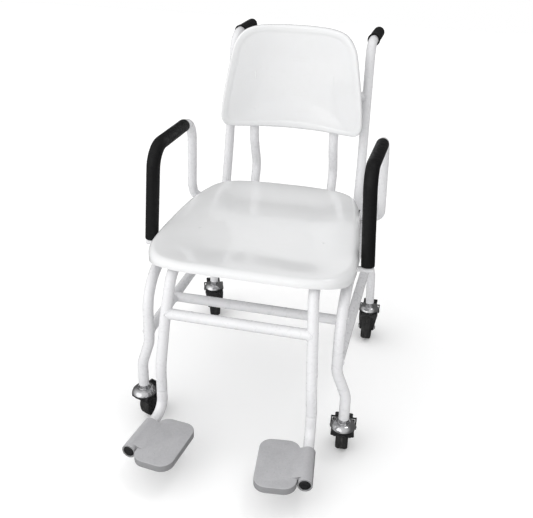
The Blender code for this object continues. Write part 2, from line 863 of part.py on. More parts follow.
def backrest_shell():
    """A curved panel whose sides come forward, with its edge turned back, on four bosses."""
    outline = whole_outline(BACKREST_HALF, 0.6500, 0.9215)
    middle = Vector((0.0, 0.780))
    roll = 0.008
    rows = [(0.0, 0.014), (0.0, roll)]
    rows += [(roll * (1 - cos(a)), roll * (1 - sin(a))) for a in ROLL_ANGLES]
    rows += [(0.050, 0.0025)]
    rings = []
    for inset, back in rows:
        ring = []
        for p in outline:
            q = shrunk(p, middle, inset)
            ring.append((q.x, BACK_Y - BACK_CURVE * q.x**2 + back, q.y))
        rings.append(ring)
    mesh = rings_mesh("backrest_shell", rings, (0, BACK_Y + 0.0050, middle.y))
    panel = add("backrest_shell", mesh, WHITE_SHELL)
    thickness(panel)
    front = BACK_Y - BACK_CURVE * BACK_TUBE_X**2
    for side in (1, -1):
        for z in (0.690, 0.790):
            boss = box(
                f"backrest_boss_{side}_{z}",
                (side * BACK_TUBE_X - 0.008, front + 0.0050, z - 0.012),
                (side * BACK_TUBE_X + 0.008, BACK_TUBE_Y - TUBE_R - GAP, z + 0.012),
                WHITE_SHELL,
                cutters,
            )
            combine(panel, boss, "UNION")


def back_tube(side, hand):
    corners = [
        (BACK_TUBE_X, PIVOT_Y, PIVOT_Z),
        (BACK_TUBE_X, 0.2320, PIVOT_Z),
        (BACK_TUBE_X, 0.2610, 0.523),
        (BACK_TUBE_X, BACK_TUBE_Y, 0.610),
        (BACK_TUBE_X, BACK_TUBE_Y, BACK_TUBE_TOP),
    ]
    path = mirrored(rounded_path(corners, (0.04, 0.05, 0.08)), side)
    made = tube(f"back_tube_{hand}", path, TUBE_R, WHITE_PAINT)
    cope_pivot(made)


# ---------------------------------------------------------------- weighing gear


def load_cell():
    """A single-point cell: a block with two bores joined by a slot, so that it flexes in the middle."""
    block = box(
        "load_cell",
        (-CELL_HALF_WIDTH, CELL_FRONT, CELL_LOW),
        (CELL_HALF_WIDTH, CELL_REAR, CELL_HIGH),
        ALUMINIUM,
    )
    middle = (CELL_LOW + CELL_HIGH) / 2
    for y in (-0.025, 0.015):
        combine(
            block,
            turned(
                f"cell_bore_{y}",
                [(0, 0.03), (0.0085, 0.03), (0.0085, -0.03), (0, -0.03)],
                ALUMINIUM,
                (0, y, middle),
                (1, 0, 0),
                steps=16,
                collection=cutters,
            ),
        )
    slot_low = (-0.03, -0.025, middle - 0.003)
    slot_high = (0.03, 0.015, middle + 0.003)
    combine(block, box("cell_slot", slot_low, slot_high, ALUMINIUM, cutters))

    box(
        "seat_frame_plate",
        (-0.1720, 0.0200, CELL_HIGH + GAP),
        (0.1720, CELL_REAR, RUN_Z - TUBE_R - GAP),
        WHITE_PAINT,
    )
    cable = [
        (CELL_HALF_WIDTH + GAP, -0.0550, 0.4100),
        (0.0400, -0.0550, 0.4100),
        (0.0700, -0.0250, 0.4100),
        (0.2245 - TUBE_R - 0.0010, -0.0250, 0.4150),
    ]
    tube("load_cell_cable", rounded_path(cable, (0.02, 0.02)), 0.0025, BLACK_PLASTIC, 2)


def display():
    """The read-out stands behind the push crossbar and faces whoever pushes the chair."""
    carrier = bpy.data.objects.new("display", None)
    parts.objects.link(carrier)
    carrier.location = DISPLAY
    carrier.rotation_euler = (DISPLAY_TILT, 0, 0)
    half = DISPLAY_SIZE / 2
    case = bevelled(box("display_case", -half, half, DISPLAY_CASE), 0.005, 1)
    case.parent = carrier
    floor = half.y - 0.004
    recess = box(
        "window_recess", (-0.080, floor, -0.010), (0.080, half.y + 0.01, 0.042), DISPLAY_CASE, cutters
    )
    recess.parent = carrier
    combine(case, recess)
    window = box(
        "display_window",
        (-0.080 + GAP, floor + GAP, -0.010 + GAP),
        (0.080 - GAP, half.y - 0.0005, 0.042 - GAP),
        DISPLAY_GLASS,
    )
    window.parent = carrier
    for x, word in zip(KEY_XS, ("left", "middle", "right")):
        well = turned(
            f"key_well_{word}",
            [(0, 0.020), (0.0098, 0.020), (0.0098, -0.006), (0, -0.006)],
            DISPLAY_CASE,
            (x, half.y, -0.0320),
            (0, 1, 0),
            collection=cutters,
        )
        well.parent = carrier
        combine(case, well)
        key = turned(
            f"display_key_{word}",
            [(0, 0.0020), (0.0080, 0.0020), (0.0092, 0.0010), (0.0092, -0.0035), (0, -0.0035)],
            KEY_RUBBER,
            (x, half.y, -0.0320),
            (0, 1, 0),
        )
        key.parent = carrier

    bracket = box(
        "display_bracket",
        (-0.030, CROSSBAR_Y - 0.002, CROSSBAR_Z - 0.020),
        (0.030, DISPLAY.y + 0.010, CROSSBAR_Z + 0.020),
        BLACK_PLASTIC,
    )
    grip = tube(
        "bracket_saddle",
        [(-0.05, CROSSBAR_Y, CROSSBAR_Z), (0.05, CROSSBAR_Y, CROSSBAR_Z)],
        TUBE_R + GAP,
        BLACK_PLASTIC,
        collection=cutters,
    )
    room_low = -half - Vector((0.1, GAP, 0.1))
    room_high = half + Vector((0.1, 0.1, 0.1))
    room = box("bracket_room", room_low, room_high, BLACK_PLASTIC, cutters)
    room.parent = carrier
    combine(bracket, grip)
    combine(bracket, room)


for side, hand in ((1, "left"), (-1, "right")):
    chassis(side, hand)
    armrest(side, hand)
    footrest(side, hand)
    back_tube(side, hand)
chassis_crossbars()
chassis_beam()
foot_crossbar()
weighed_frame()
seat_shell()
backrest_shell()
load_cell()
display()
castor("front_left", STEM_FRONT, radians(94), 1)
castor("front_right", mirrored([STEM_FRONT], -1)[0], radians(68), 1)
castor("rear_left", STEM_REAR, radians(-90), -1)
castor("rear_right", mirrored([STEM_REAR], -1)[0], radians(-68), -1)

for made in (*parts.objects, *cutters.objects):
    if made.parent is None:
        made.location += TO_MIDDLE
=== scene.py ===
"""The finished look of a castored chair scale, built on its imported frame.

Metres, +Z up. The sitter faces -Y, and the sitter's left side is +X.
"""

from math import ceil, cos, pi, radians, sin, tan

import bmesh
import bpy
from mathutils import Matrix, Vector


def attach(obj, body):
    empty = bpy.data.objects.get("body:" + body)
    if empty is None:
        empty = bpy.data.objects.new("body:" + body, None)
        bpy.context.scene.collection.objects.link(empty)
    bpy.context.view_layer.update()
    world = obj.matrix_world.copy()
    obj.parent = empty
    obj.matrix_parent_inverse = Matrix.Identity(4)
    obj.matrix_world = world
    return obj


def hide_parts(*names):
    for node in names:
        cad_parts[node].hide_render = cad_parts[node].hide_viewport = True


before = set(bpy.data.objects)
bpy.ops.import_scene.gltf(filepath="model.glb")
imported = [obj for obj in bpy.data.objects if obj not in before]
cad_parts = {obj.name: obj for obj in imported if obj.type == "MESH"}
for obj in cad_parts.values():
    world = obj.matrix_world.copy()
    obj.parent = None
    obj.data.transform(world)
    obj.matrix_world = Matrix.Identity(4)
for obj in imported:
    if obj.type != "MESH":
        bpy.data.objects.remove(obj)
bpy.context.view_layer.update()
scene = bpy.context.scene

# Sizes shared with the solids, drawn from midway between the castor stems
TO_ORIGIN = Matrix.Translation((0.0058, 0.0229, 0))
TUBE_R = 0.0125
TUBE_BORE_R = 0.0108
REST_BAR_R = 0.0065
REST_BAR_Y, REST_BAR_Z = -0.166, 0.4375
SEAT_LEVEL_Z = 0.415
LEG_X = 0.2245
RUN_X = 0.16
RUN_Z = 0.44
LEG_END_Z = 0.1053
RAIL_Z = 0.265
STEM_FRONT = Vector((0.249, -0.285, 0))
STEM_REAR = Vector((0.252, 0.283, 0))
TRAIL = 0.03
AXLE_Z = 0.0375 * cos(pi / 24)
WHEEL_R = AXLE_Z - 0.00005
PIVOT_Y, PIVOT_Z = 0.147, 0.4435
PIVOT_TUBE_R, PIVOT_TUBE_HALF = 0.016, 0.205
FOOT_AXIS_BACK = Vector((0.185, -0.3845, 0.081))
FOOT_AXIS_FRONT = Vector((0.19709, -0.48798, 0.081))
FOOT_SEAM = Vector((0.1794, -0.3368, 0.14))
HUB_REAR = 0.0065
BACK_Y, BACK_CURVE = 0.2095, 1.3
BACK_TUBE_X, BACK_TUBE_Y, BACK_TUBE_TOP = 0.112, 0.224, 0.82
CROSSBAR_Y, CROSSBAR_Z = 0.268, 0.74
LOWER_BAR_Y = -0.1165
FOOT_BAR_Y, FOOT_BAR_Z = -0.3215, 0.34
BEAM_HALF, BEAM_END_LOW, BEAM_END_HIGH = 0.025, 0.404, 0.4215
SCREW_R, CASE_SCREW_R = 0.0058, 0.0034
FLOOR_LIFT = 0.095
DISPLAY = Vector((0.0, 0.313, 0.765))
DISPLAY_TILT = radians(20)
DISPLAY_HALF_DEPTH = 0.017
DISPLAY_KEYS = ((-0.055, "left"), (0.0, "middle"), (0.055, "right"))
SIDES = ((1, "left"), (-1, "right"))

# Name, stem, heading in degrees and side of the pedal
CASTORS = (
    ("front_left", STEM_FRONT, 94, 1),
    ("front_right", Vector((-STEM_FRONT.x, STEM_FRONT.y, 0)), 68, 1),
    ("rear_left", STEM_REAR, -90, -1),
    ("rear_right", Vector((-STEM_REAR.x, STEM_REAR.y, 0)), -68, -1),
)

# ---------------------------------------------------------------- materials


class Look:
    """A procedural material: a base colour with mottling, varied roughness, bump and worn edges."""

    def __init__(self, name, colour, roughness, metallic=0.0, coat=0.0, specular=0.5):
        self.material = bpy.data.materials.new(name)
        self.material.use_nodes = True
        self.tree = self.material.node_tree
        self.shader = self.tree.nodes["Principled BSDF"]
        for key, number in (("Metallic", metallic), ("Roughness", roughness), ("Coat Weight", coat),
            ("Coat Roughness", 0.06), ("Specular IOR Level", specular)):
            self.shader.inputs[key].default_value = number
        self.roughness = roughness
        self.coords = self.node("ShaderNodeTexCoord").outputs["Object"]
        self.colour = self.node("ShaderNodeRGB").outputs[0]
        self.colour.default_value = (*colour, 1.0)
        self.rough = None
        self.normal = None

    def node(self, kind, **values):
        made = self.tree.nodes.new(kind)
        for key, value in values.items():
            setattr(made, key, value)
        return made

    def link(self, source, target):
        self.tree.links.new(source, target)

    def noise(self, scale, detail=3.0, roughness=0.5, stretch=None):
        made = self.node("ShaderNodeTexNoise")
        made.inputs["Scale"].default_value = scale
        made.inputs["Detail"].default_value = detail
        made.inputs["Roughness"].default_value = roughness
        coords = self.coords
        if stretch:
            mapping = self.node("ShaderNodeMapping")
            mapping.inputs["Scale"].default_value = stretch
            self.link(coords, mapping.inputs["Vector"])
            coords = mapping.outputs[0]
        self.link(coords, made.inputs["Vector"])
        return made.outputs["Fac"]

    def ramp(self, value, low, high, out_low=0.0, out_high=1.0):
        made = self.node("ShaderNodeMapRange", interpolation_type="SMOOTHSTEP")
        for key, number in zip(("From Min", "From Max", "To Min", "To Max"),
            (low, high, out_low, out_high)):
            made.inputs[key].default_value = number
        self.link(value, made.inputs["Value"])
        return made.outputs["Result"]

    def times(self, a, b):
        made = self.node("ShaderNodeMath", operation="MULTIPLY")
        self.link(a, made.inputs[0])
        self.link(b, made.inputs[1])
        return made.outputs[0]

    def tint(self, factor, colour):
        """Mixes the colour so far towards another by the factor."""
        made = self.node("ShaderNodeMix", data_type="RGBA")
        self.link(factor, made.inputs["Factor"])
        self.link(self.colour, made.inputs["A"])
        made.inputs["B"].default_value = (*colour, 1.0)
        self.colour = made.outputs["Result"]
        return self

    def mottle(self, scale, colour, amount):
        return self.tint(self.ramp(self.noise(scale, 4.0), 0.35, 0.7, 0.0, amount), colour)

    def flecks(self, scale, colour, low, high, amount, stretch=None):
        return self.tint(self.ramp(self.noise(scale, 2.0, 0.5, stretch), low, high, 0.0, amount), colour)

    def vary_roughness(self, scale, spread, stretch=None):
        low, high = self.roughness - spread, self.roughness + spread
        self.rough = self.ramp(self.noise(scale, 4.0, 0.6, stretch), 0.3, 0.7, max(low, 0.02), high)
        return self

    def bump(self, height, distance, strength):
        made = self.node("ShaderNodeBump")
        made.inputs["Strength"].default_value = strength
        made.inputs["Distance"].default_value = distance
        self.link(height, made.inputs["Height"])
        if self.normal is not None:
            self.link(self.normal, made.inputs["Normal"])
        self.normal = made.outputs["Normal"]
        return self

    def grain(self, scale, detail, distance, strength, stretch=None):
        return self.bump(self.noise(scale, detail, 0.5, stretch), distance, strength)

    def pores(self, scale, distance, strength, colour=None, amount=0.0):
        made = self.node("ShaderNodeTexVoronoi")
        made.inputs["Scale"].default_value = scale
        self.link(self.coords, made.inputs["Vector"])
        depth = made.outputs["Distance"]
        if colour:
            self.tint(self.ramp(depth, 0.62, 0.25, 0.0, amount), colour)
        return self.bump(depth, distance, strength)

    def worn_edges(self, colour, amount, low=0.53, high=0.62):
        """Edges and ridges rubbed towards another colour, broken up by noise."""
        edge = self.node("ShaderNodeNewGeometry").outputs["Pointiness"]
        patches = self.ramp(self.noise(60.0, 5.0), 0.4, 0.62)
        return self.tint(self.times(self.ramp(edge, low, high, 0.0, amount), patches), colour)

    def hollow_shade(self, colour, amount):
        """Painted shade: the hollows darkened towards another colour, broken up in patches."""
        edge = self.node("ShaderNodeNewGeometry").outputs["Pointiness"]
        patches = self.ramp(self.noise(45.0, 4.0), 0.3, 0.6)
        return self.tint(self.times(self.ramp(edge, 0.42, 0.5, amount, 0.0), patches), colour)

    def side_shade(self, colour, amount):
        """Painted shade: faces that stand upright are tinted darker than the tops."""
        parted = self.node("ShaderNodeSeparateXYZ")
        self.link(self.node("ShaderNodeTexCoord").outputs["Normal"], parted.inputs[0])
        return self.tint(self.ramp(parted.outputs["Z"], 0.75, 0.25, 0.0, amount), colour)

    def done(self, slot):
        self.link(self.colour, self.shader.inputs["Base Color"])
        if self.rough is not None:
            self.link(self.rough, self.shader.inputs["Roughness"])
        if self.normal is not None:
            self.link(self.normal, self.shader.inputs["Normal"])
        return self.material


def metal(slot, name, colour, roughness, spread, brush=None, strength=0.3):
    """Bare metal, brushed where a stretch is given, with painted shade in its hollows."""
    look = Look(name, colour, roughness, 1.0).mottle(55.0, tuple(0.82 * c for c in colour), 0.7)
    look.vary_roughness(300.0 if brush else 90.0, spread, brush)
    return look.grain(600.0, 2.0, 0.00003, strength, brush).hollow_shade((0.1, 0.1, 0.1), 0.6).done(slot)


# White powder coat: a fine orange peel, a little painted shade in the hollows and a few rubbed spots
look = Look("white_powder_coat", (0.74, 0.74, 0.752), 0.3, coat=0.25)
look.mottle(9.0, (0.705, 0.705, 0.72), 0.8).mottle(70.0, (0.705, 0.705, 0.715), 0.35)
look.hollow_shade((0.56, 0.555, 0.55), 0.35).vary_roughness(90.0, 0.05)
PAINT = look.grain(620.0, 2.0, 0.00004, 0.4).grain(24.0, 2.0, 0.0002, 0.06).done("white_paint")

# Glossy white moulded shell: very slight flow waviness, fine wipe marks, soft sheen
look = Look("white_gloss_shell", (0.735, 0.738, 0.742), 0.17, coat=0.35)
look.mottle(5.0, (0.715, 0.72, 0.728), 0.8).mottle(55.0, (0.72, 0.72, 0.72), 0.4)
look.vary_roughness(22.0, 0.05, (1.0, 5.0, 1.0))
look.grain(16.0, 2.0, 0.001, 0.06).grain(900.0, 2.0, 0.00002, 0.35)
look.flecks(260.0, (0.69, 0.69, 0.69), 0.6, 0.74, 0.25, (0.08, 1.0, 0.3))
SHELL_WHITE = look.done("white_shell")

# Closed-cell black foam: a fine skin with open pores and a dusty bloom
look = Look("black_foam_skin", (0.0025, 0.0025, 0.0028), 0.58, specular=0.2)
look.mottle(35.0, (0.004, 0.004, 0.0043), 0.9)
look.pores(950.0, 0.00022, 0.55, (0.012, 0.012, 0.013), 0.55)
look.flecks(1400.0, (0.03, 0.03, 0.032), 0.62, 0.72, 0.3)
FOAM = look.vary_roughness(140.0, 0.12).grain(85.0, 3.0, 0.0005, 0.3).done("black_foam")

# Black glass-filled nylon with a fine spark texture and scuffed edges
look = Look("black_nylon", (0.005, 0.005, 0.0055), 0.3, specular=0.38)
look.mottle(60.0, (0.01, 0.01, 0.011), 0.8).worn_edges((0.08, 0.08, 0.085), 0.7)
NYLON = look.vary_roughness(210.0, 0.11).grain(1500.0, 2.0, 0.00005, 0.7).done("black_plastic")

# Black tyre rubber: dusty tread and faint mould lines
look = Look("black_tyre", (0.012, 0.012, 0.0125), 0.55, specular=0.3)
look.mottle(42.0, (0.026, 0.0255, 0.025), 0.85).worn_edges((0.075, 0.073, 0.07), 0.8, 0.52, 0.58)
TYRE = look.vary_roughness(160.0, 0.14).grain(700.0, 4.0, 0.00012, 0.8).done("black_rubber")

# Mid-grey moulded plate: fine grain, mottling, rubbed edges, and painted shade in the hollows and on the
# upright sides
look = Look("grey_moulding", (0.42, 0.418, 0.432), 0.5)
look.mottle(22.0, (0.385, 0.384, 0.397), 0.9).mottle(240.0, (0.46, 0.46, 0.47), 0.5)
look.worn_edges((0.52, 0.52, 0.53), 0.7, 0.52, 0.6).hollow_shade((0.22, 0.22, 0.22), 0.5)
look.side_shade((0.2, 0.2, 0.205), 0.8).vary_roughness(180.0, 0.1)
GREY = look.grain(1250.0, 3.0, 0.00009, 0.8).done("grey_plate")

CHROME = metal("chrome", "dull_chrome", (0.56, 0.56, 0.57), 0.13, 0.05)
ZINC = metal("steel", "zinc_steel", (0.56, 0.56, 0.57), 0.3, 0.09)
MILLED = metal("aluminium", "milled_aluminium", (0.66, 0.67, 0.68), 0.34, 0.1, (1.0, 12.0, 1.0), 0.6)

look = Look("pale_case", (0.5, 0.51, 0.53), 0.42)
look.mottle(18.0, (0.475, 0.485, 0.5), 0.8).worn_edges((0.6, 0.6, 0.62), 0.4)
CASE = look.vary_roughness(160.0, 0.08).pores(1500.0, 0.00006, 0.6).done("display_case")

# A dark window over a grey-green liquid crystal panel
look = Look("lcd_window", (0.16, 0.19, 0.15), 0.1, coat=0.8).mottle(14.0, (0.19, 0.22, 0.17), 0.6)
GLASS = look.vary_roughness(80.0, 0.04).grain(40.0, 2.0, 0.0002, 0.05).done("display_glass")

look = Look("key_membrane", (0.09, 0.13, 0.21), 0.5)
look.mottle(120.0, (0.11, 0.15, 0.23), 0.7).worn_edges((0.2, 0.24, 0.32), 0.5)
KEYS = look.vary_roughness(200.0, 0.1).grain(1100.0, 2.0, 0.00006, 0.6).done("key_rubber")

# ---------------------------------------------------------------- mesh making


def side_of(points, side):
    """The same points on the sitter's left (side 1) or right (side -1)."""
    return [Vector((side * p[0], p[1], p[2])) for p in points]


def rounded_path(corners, radii, step=radians(6)):
    """Straight runs joined by round bends. A radius of 0 keeps the corner."""
    corners = [Vector(c) for c in corners]
    path = [corners[0]]
    for before, corner, after, radius in zip(corners, corners[1:], corners[2:], radii):
        if radius == 0:
            path.append(corner)
            continue
        back = (before - corner).normalized()
        on = (after - corner).normalized()
        turn = pi - back.angle(on)
        start = corner + back * radius * tan(turn / 2)
        centre = corner + (back + on).normalized() * radius / cos(turn / 2)
        normal = (-back).cross(on).normalized()
        count = max(2, ceil(turn / step))
        path += [centre + Matrix.Rotation(turn * i / count, 3, normal) @ (start - centre)
            for i in range(count + 1)]
    return path + [corners[-1]]


def soft_profile(corners):
    """A turned profile from (radius, height, fillet) corners."""
    points = [Vector((c[0], 0, c[1])) for c in corners]
    bends = [c[2] if len(c) > 2 else 0 for c in corners[1:-1]]
    return [(max(p.x, 0.0), p.z) for p in rounded_path(points, bends, radians(18))]


def skin(bm, rings, closed=False):
    """Faces between rings of vertices. A ring of one vertex is a pole."""
    pairs = list(zip(rings, rings[1:]))
    if closed:
        pairs.append((rings[-1], rings[0]))
    for a, b in pairs:
        count = max(len(a), len(b))
        for i in range(count):
            j = (i + 1) % count
            corners = [a[i % len(a)], a[j % len(a)], b[j % len(b)], b[i % len(b)]]
            unique = list(dict.fromkeys(corners))
            if len(unique) > 2:
                bm.faces.new(unique)


def rod(path, radius, tip, tip_end=None, sides=36):
    """A round bar along the path. A tip is rows of (distance past the end, radius)."""
    bm = bmesh.new()
    tip_end = tip_end or tip
    path = [Vector(p) for p in path]
    tangents = [(b - a).normalized() for a, b in zip(path, path[1:])]
    first = tangents[0]
    across = first.orthogonal().normalized()
    frames = []
    before = first
    for i in range(len(path)):
        along = tangents[min(i, len(tangents) - 1)]
        if 0 < i < len(tangents):
            along = (tangents[i - 1] + tangents[i]).normalized()
        across = before.rotation_difference(along) @ across
        across = (across - along * across.dot(along)).normalized()
        frames.append((along, across, along.cross(across)))
        before = along

    def ring(centre, axes, r):
        turns = [2 * pi * k / sides for k in range(sides)]
        return [bm.verts.new(centre + (axes[1] * cos(a) + axes[2] * sin(a)) * r) for a in turns]

    head, tail = frames[0], frames[-1]
    rings = [[bm.verts.new(path[0] - head[0] * tip[0][0])]]
    rings += [ring(path[0] - head[0] * d, head, r) for d, r in tip]
    rings += [ring(p, axes, radius) for p, axes in zip(path[1:-1], frames[1:-1])]
    rings += [ring(path[-1] + tail[0] * d, tail, r) for d, r in reversed(tip_end)]
    rings += [[bm.verts.new(path[-1] + tail[0] * tip_end[0][0])]]
    skin(bm, rings)
    return bm


def cut_end(radius=TUBE_R):
    """A sawn solid end with its edge broken."""
    return [(0.0, radius - 0.0007), (-0.0002, radius - 0.0002), (-0.0007, radius)]


def open_end():
    """An open tube end with its wall showing."""
    lip = [(-0.015, TUBE_BORE_R), (-0.0004, TUBE_BORE_R), (0.0, TUBE_BORE_R + 0.0004)]
    return lip + [(0.0, TUBE_R - 0.0006), (-0.0002, TUBE_R - 0.0002), (-0.0006, TUBE_R)]


def hidden_end(radius=TUBE_R):
    """An end buried in another piece."""
    return [(0.0, radius)]


def standing(place, axis=(0, 0, 1), turn=0.0):
    """Puts local Z along the axis at a place."""
    spin = Vector(axis).to_track_quat("Z", "Y").to_matrix().to_4x4()
    return Matrix.Translation(Vector(place)) @ spin @ Matrix.Rotation(turn, 4, "Z")


def lathe(bm, profile, place, steps=48, closed=False):
    rings = []
    for r, z in profile:
        if r < 1e-6:
            rings.append([bm.verts.new(place @ Vector((0, 0, z)))])
        else:
            rings.append([bm.verts.new(place @ Vector((r * cos(2 * pi * k / steps),
                r * sin(2 * pi * k / steps), z))) for k in range(steps)])
    skin(bm, rings, closed)


def soften(bm, width, segments=3, angle=30):
    """Rounds every edge sharper than the angle."""
    bmesh.ops.recalc_face_normals(bm, faces=bm.faces)
    edges = [e for e in bm.edges if e.is_manifold and e.calc_face_angle() > radians(angle)]
    bmesh.ops.bevel(bm, geom=edges, offset=width, segments=segments, profile=0.5, affect="EDGES",
        clamp_overlap=True)
    bmesh.ops.remove_doubles(bm, verts=bm.verts, dist=1e-6)


def loose(bm, name="tool"):
    """A working object that isn't a piece yet."""
    bmesh.ops.recalc_face_normals(bm, faces=bm.faces)
    mesh = bpy.data.meshes.new(name)
    bm.to_mesh(mesh)
    bm.free()
    made = bpy.data.objects.new(name, mesh)
    scene.collection.objects.link(made)
    return made


def applied(made):
    """Puts the result of the modifiers in the mesh."""
    graph = bpy.context.evaluated_depsgraph_get()
    mesh = bpy.data.meshes.new_from_object(made.evaluated_get(graph))
    made.modifiers.clear()
    made.data = mesh
    return made


def carve(base, tools, operation="DIFFERENCE"):
    """Applies exact booleans and removes the tools, given as objects or as bmeshes."""
    tools = [loose(tool) if isinstance(tool, bmesh.types.BMesh) else tool for tool in tools]
    for tool in tools:
        boolean = base.modifiers.new(operation.lower(), "BOOLEAN")
        boolean.operation = operation
        boolean.solver = "EXACT"
        boolean.object = tool
    applied(base)
    for tool in tools:
        bpy.data.objects.remove(tool, do_unlink=True)
    return base


def cylinder(r, low, high):
    return [(0, low), (r, low), (r, high), (0, high)]


def sleeve(bore, r, half, fillet=0.0):
    """The profile of a tube with its outer edges rounded."""
    return [(bore, half), (r, half, fillet), (r, -half, fillet), (bore, -half)]


def arc(x, y, r, start, end, step):
    """Points round a centre, from one angle up to another."""
    return [(x + r * cos(radians(a)), y + r * sin(radians(a))) for a in range(start, end, step)]


def round_rectangle(low, high, r, step=radians(6)):
    a, b = low
    c, d = high
    corners = [(a, b, 0), (c, b, 0), (c, d, 0), (a, d, 0)]
    path = rounded_path(corners + corners[:2], (r,) * 4, step)
    return [(p.x, p.y) for p in path[1:-1]]


def turned(profile, place, steps=48, closed=False):
    """A lathed shape. Corners with a third number, their fillet, are rounded first."""
    bm = bmesh.new()
    if any(len(corner) > 2 for corner in profile):
        profile = soft_profile(profile)
    lathe(bm, profile, place, steps, closed)
    return bm


def block(outline, low, high, place=Matrix(), soft=0.0, segments=2, angle=30):
    """An outline in local XY, extruded in local Z, with its edges rounded by the soft width."""
    bm = bmesh.new()
    ends = [[bm.verts.new(place @ Vector((x, y, z))) for x, y in outline] for z in (low, high)]
    count = len(outline)
    for i in range(count):
        j = (i + 1) % count
        bm.faces.new((ends[0][i], ends[0][j], ends[1][j], ends[1][i]))
    bm.faces.new(list(reversed(ends[0])))
    bm.faces.new(ends[1])
    if soft:
        soften(bm, soft, segments, angle)
    return bm


def piece(name, made, look=PAINT, body="frame", stands_for=None, angle=35):
    """Finishes a mesh as a named piece on a body, in place of the CAD node of its own name if any."""
    if isinstance(made, bmesh.types.BMesh):
        made = loose(made, name)
    made.name = name
    made.data.name = name
    made.data.transform(TO_ORIGIN)
    made.data.materials.clear()
    made.data.materials.append(look)
    made.data.shade_smooth()
    made.data.set_sharp_from_angle(angle=radians(angle))
    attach(made, body)
    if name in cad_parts:
        stands_for = name
    if stands_for:
        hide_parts(stands_for)
    return made


def tube_piece(name, path, tip=None, tip_end=None, radius=TUBE_R, body="frame"):
    tip = tip or hidden_end(radius)
    piece(name, rod(path, radius, tip, tip_end), PAINT, body)


def bead_loop(name, points, outs):
    """A rippled weld bead along a closed loop of points."""
    bm = bmesh.new()
    rings = []
    count = len(points)
    for k in range(count):
        forward = (points[(k + 1) % count] - points[k - 1]).normalized()
        side = forward.cross(outs[k]).normalized()
        r = 0.0018 + 0.0003 * sin(2 * pi * k / 3.0)
        turns = [2 * pi * i / 8 for i in range(8)]
        rings.append([bm.verts.new(points[k] + (outs[k] * cos(a) + side * sin(a)) * r) for a in turns])
    skin(bm, rings, True)
    piece(name, bm, angle=60)


def weld(name, branch, along, main, main_along, branch_r=TUBE_R, main_r=TUBE_R):
    """The bead where a branch tube meets a main tube, each given by a point and a direction."""
    along, main_along = Vector(along).normalized(), Vector(main_along).normalized()
    branch, main = Vector(branch), Vector(main)
    u = along.orthogonal().normalized()
    v = along.cross(u)
    points, outs = [], []
    count = 72
    for k in range(count):
        a = 2 * pi * k / count
        out = u * cos(a) + v * sin(a)
        start = branch + out * branch_r - main
        flat_start = start - main_along * start.dot(main_along)
        flat_along = along - main_along * along.dot(main_along)
        qa, qb = flat_along.length_squared, 2 * flat_start.dot(flat_along)
        qc = flat_start.length_squared - main_r**2
        root = max(qb * qb - 4 * qa * qc, 0.0) ** 0.5
        s = (-qb - root) / (2 * qa)
        points.append(branch + out * branch_r + along * s)
        outs.append(out)
    bead_loop(name, points, outs)


# ---------------------------------------------------------------- chassis


def leg_corners(side):
    return side_of(((STEM_FRONT.x, STEM_FRONT.y, LEG_END_Z), (0.249, -0.285, 0.168),
        (LEG_X, -0.2945, 0.238), (LEG_X, -0.2935, SEAT_LEVEL_Z), (LEG_X, 0.1, SEAT_LEVEL_Z),
        (0.201, 0.229, SEAT_LEVEL_Z)), side)


def upright_corners(side):
    return side_of(((STEM_REAR.x, STEM_REAR.y, LEG_END_Z), (0.2475, 0.283, 0.205),
        (0.1935, 0.2185, 0.447), (0.1925, 0.245, 0.56), (0.1872, 0.2867, 0.8795),
        (0.1899, 0.47, 0.8879)), side)


def push_grip(side, hand, end, along):
    """A foam grip with a domed end and a rolled collar at its mouth."""
    profile = [(0.0, 0.0097), (0.0158, 0.0092, 0.0095), (0.0161, -0.06, 0.0005),
        (0.0157, -0.1235, 0.002), (0.0172, -0.1262, 0.0012), (0.0172, -0.1322, 0.0018),
        (0.0128, -0.1322, 0.0006), (0.0128, -0.03), (0.0, -0.03)]
    piece(f"push_grip_{hand}", turned(profile, standing(end, along), 44), FOAM)


def chassis(side, hand):
    upright = rounded_path(upright_corners(side), (0.08, 0.1, 0.15, 0.05))
    tube_piece(f"rear_upright_{hand}", upright, open_end(), cut_end())
    leg = rounded_path(leg_corners(side), (0.07, 0.07, 0.1, 0.15))
    tube_piece(f"front_leg_tube_{hand}", leg, open_end(), hidden_end())
    rail = side_of([(0.2262, -0.29, RAIL_Z), (0.237, 0.27, RAIL_Z)], side)
    tube_piece(f"lower_rail_{hand}", rail)
    end, along = upright[-1], (upright[-1] - upright[-2]).normalized()
    push_grip(side, hand, end, along)


for side, hand in SIDES:
    chassis(side, hand)

tube_piece("lower_crossbar", [(-0.2295, LOWER_BAR_Y, RAIL_Z), (0.2295, LOWER_BAR_Y, RAIL_Z)])
tube_piece("push_crossbar", [(-0.19, CROSSBAR_Y, CROSSBAR_Z), (0.19, CROSSBAR_Y, CROSSBAR_Z)])


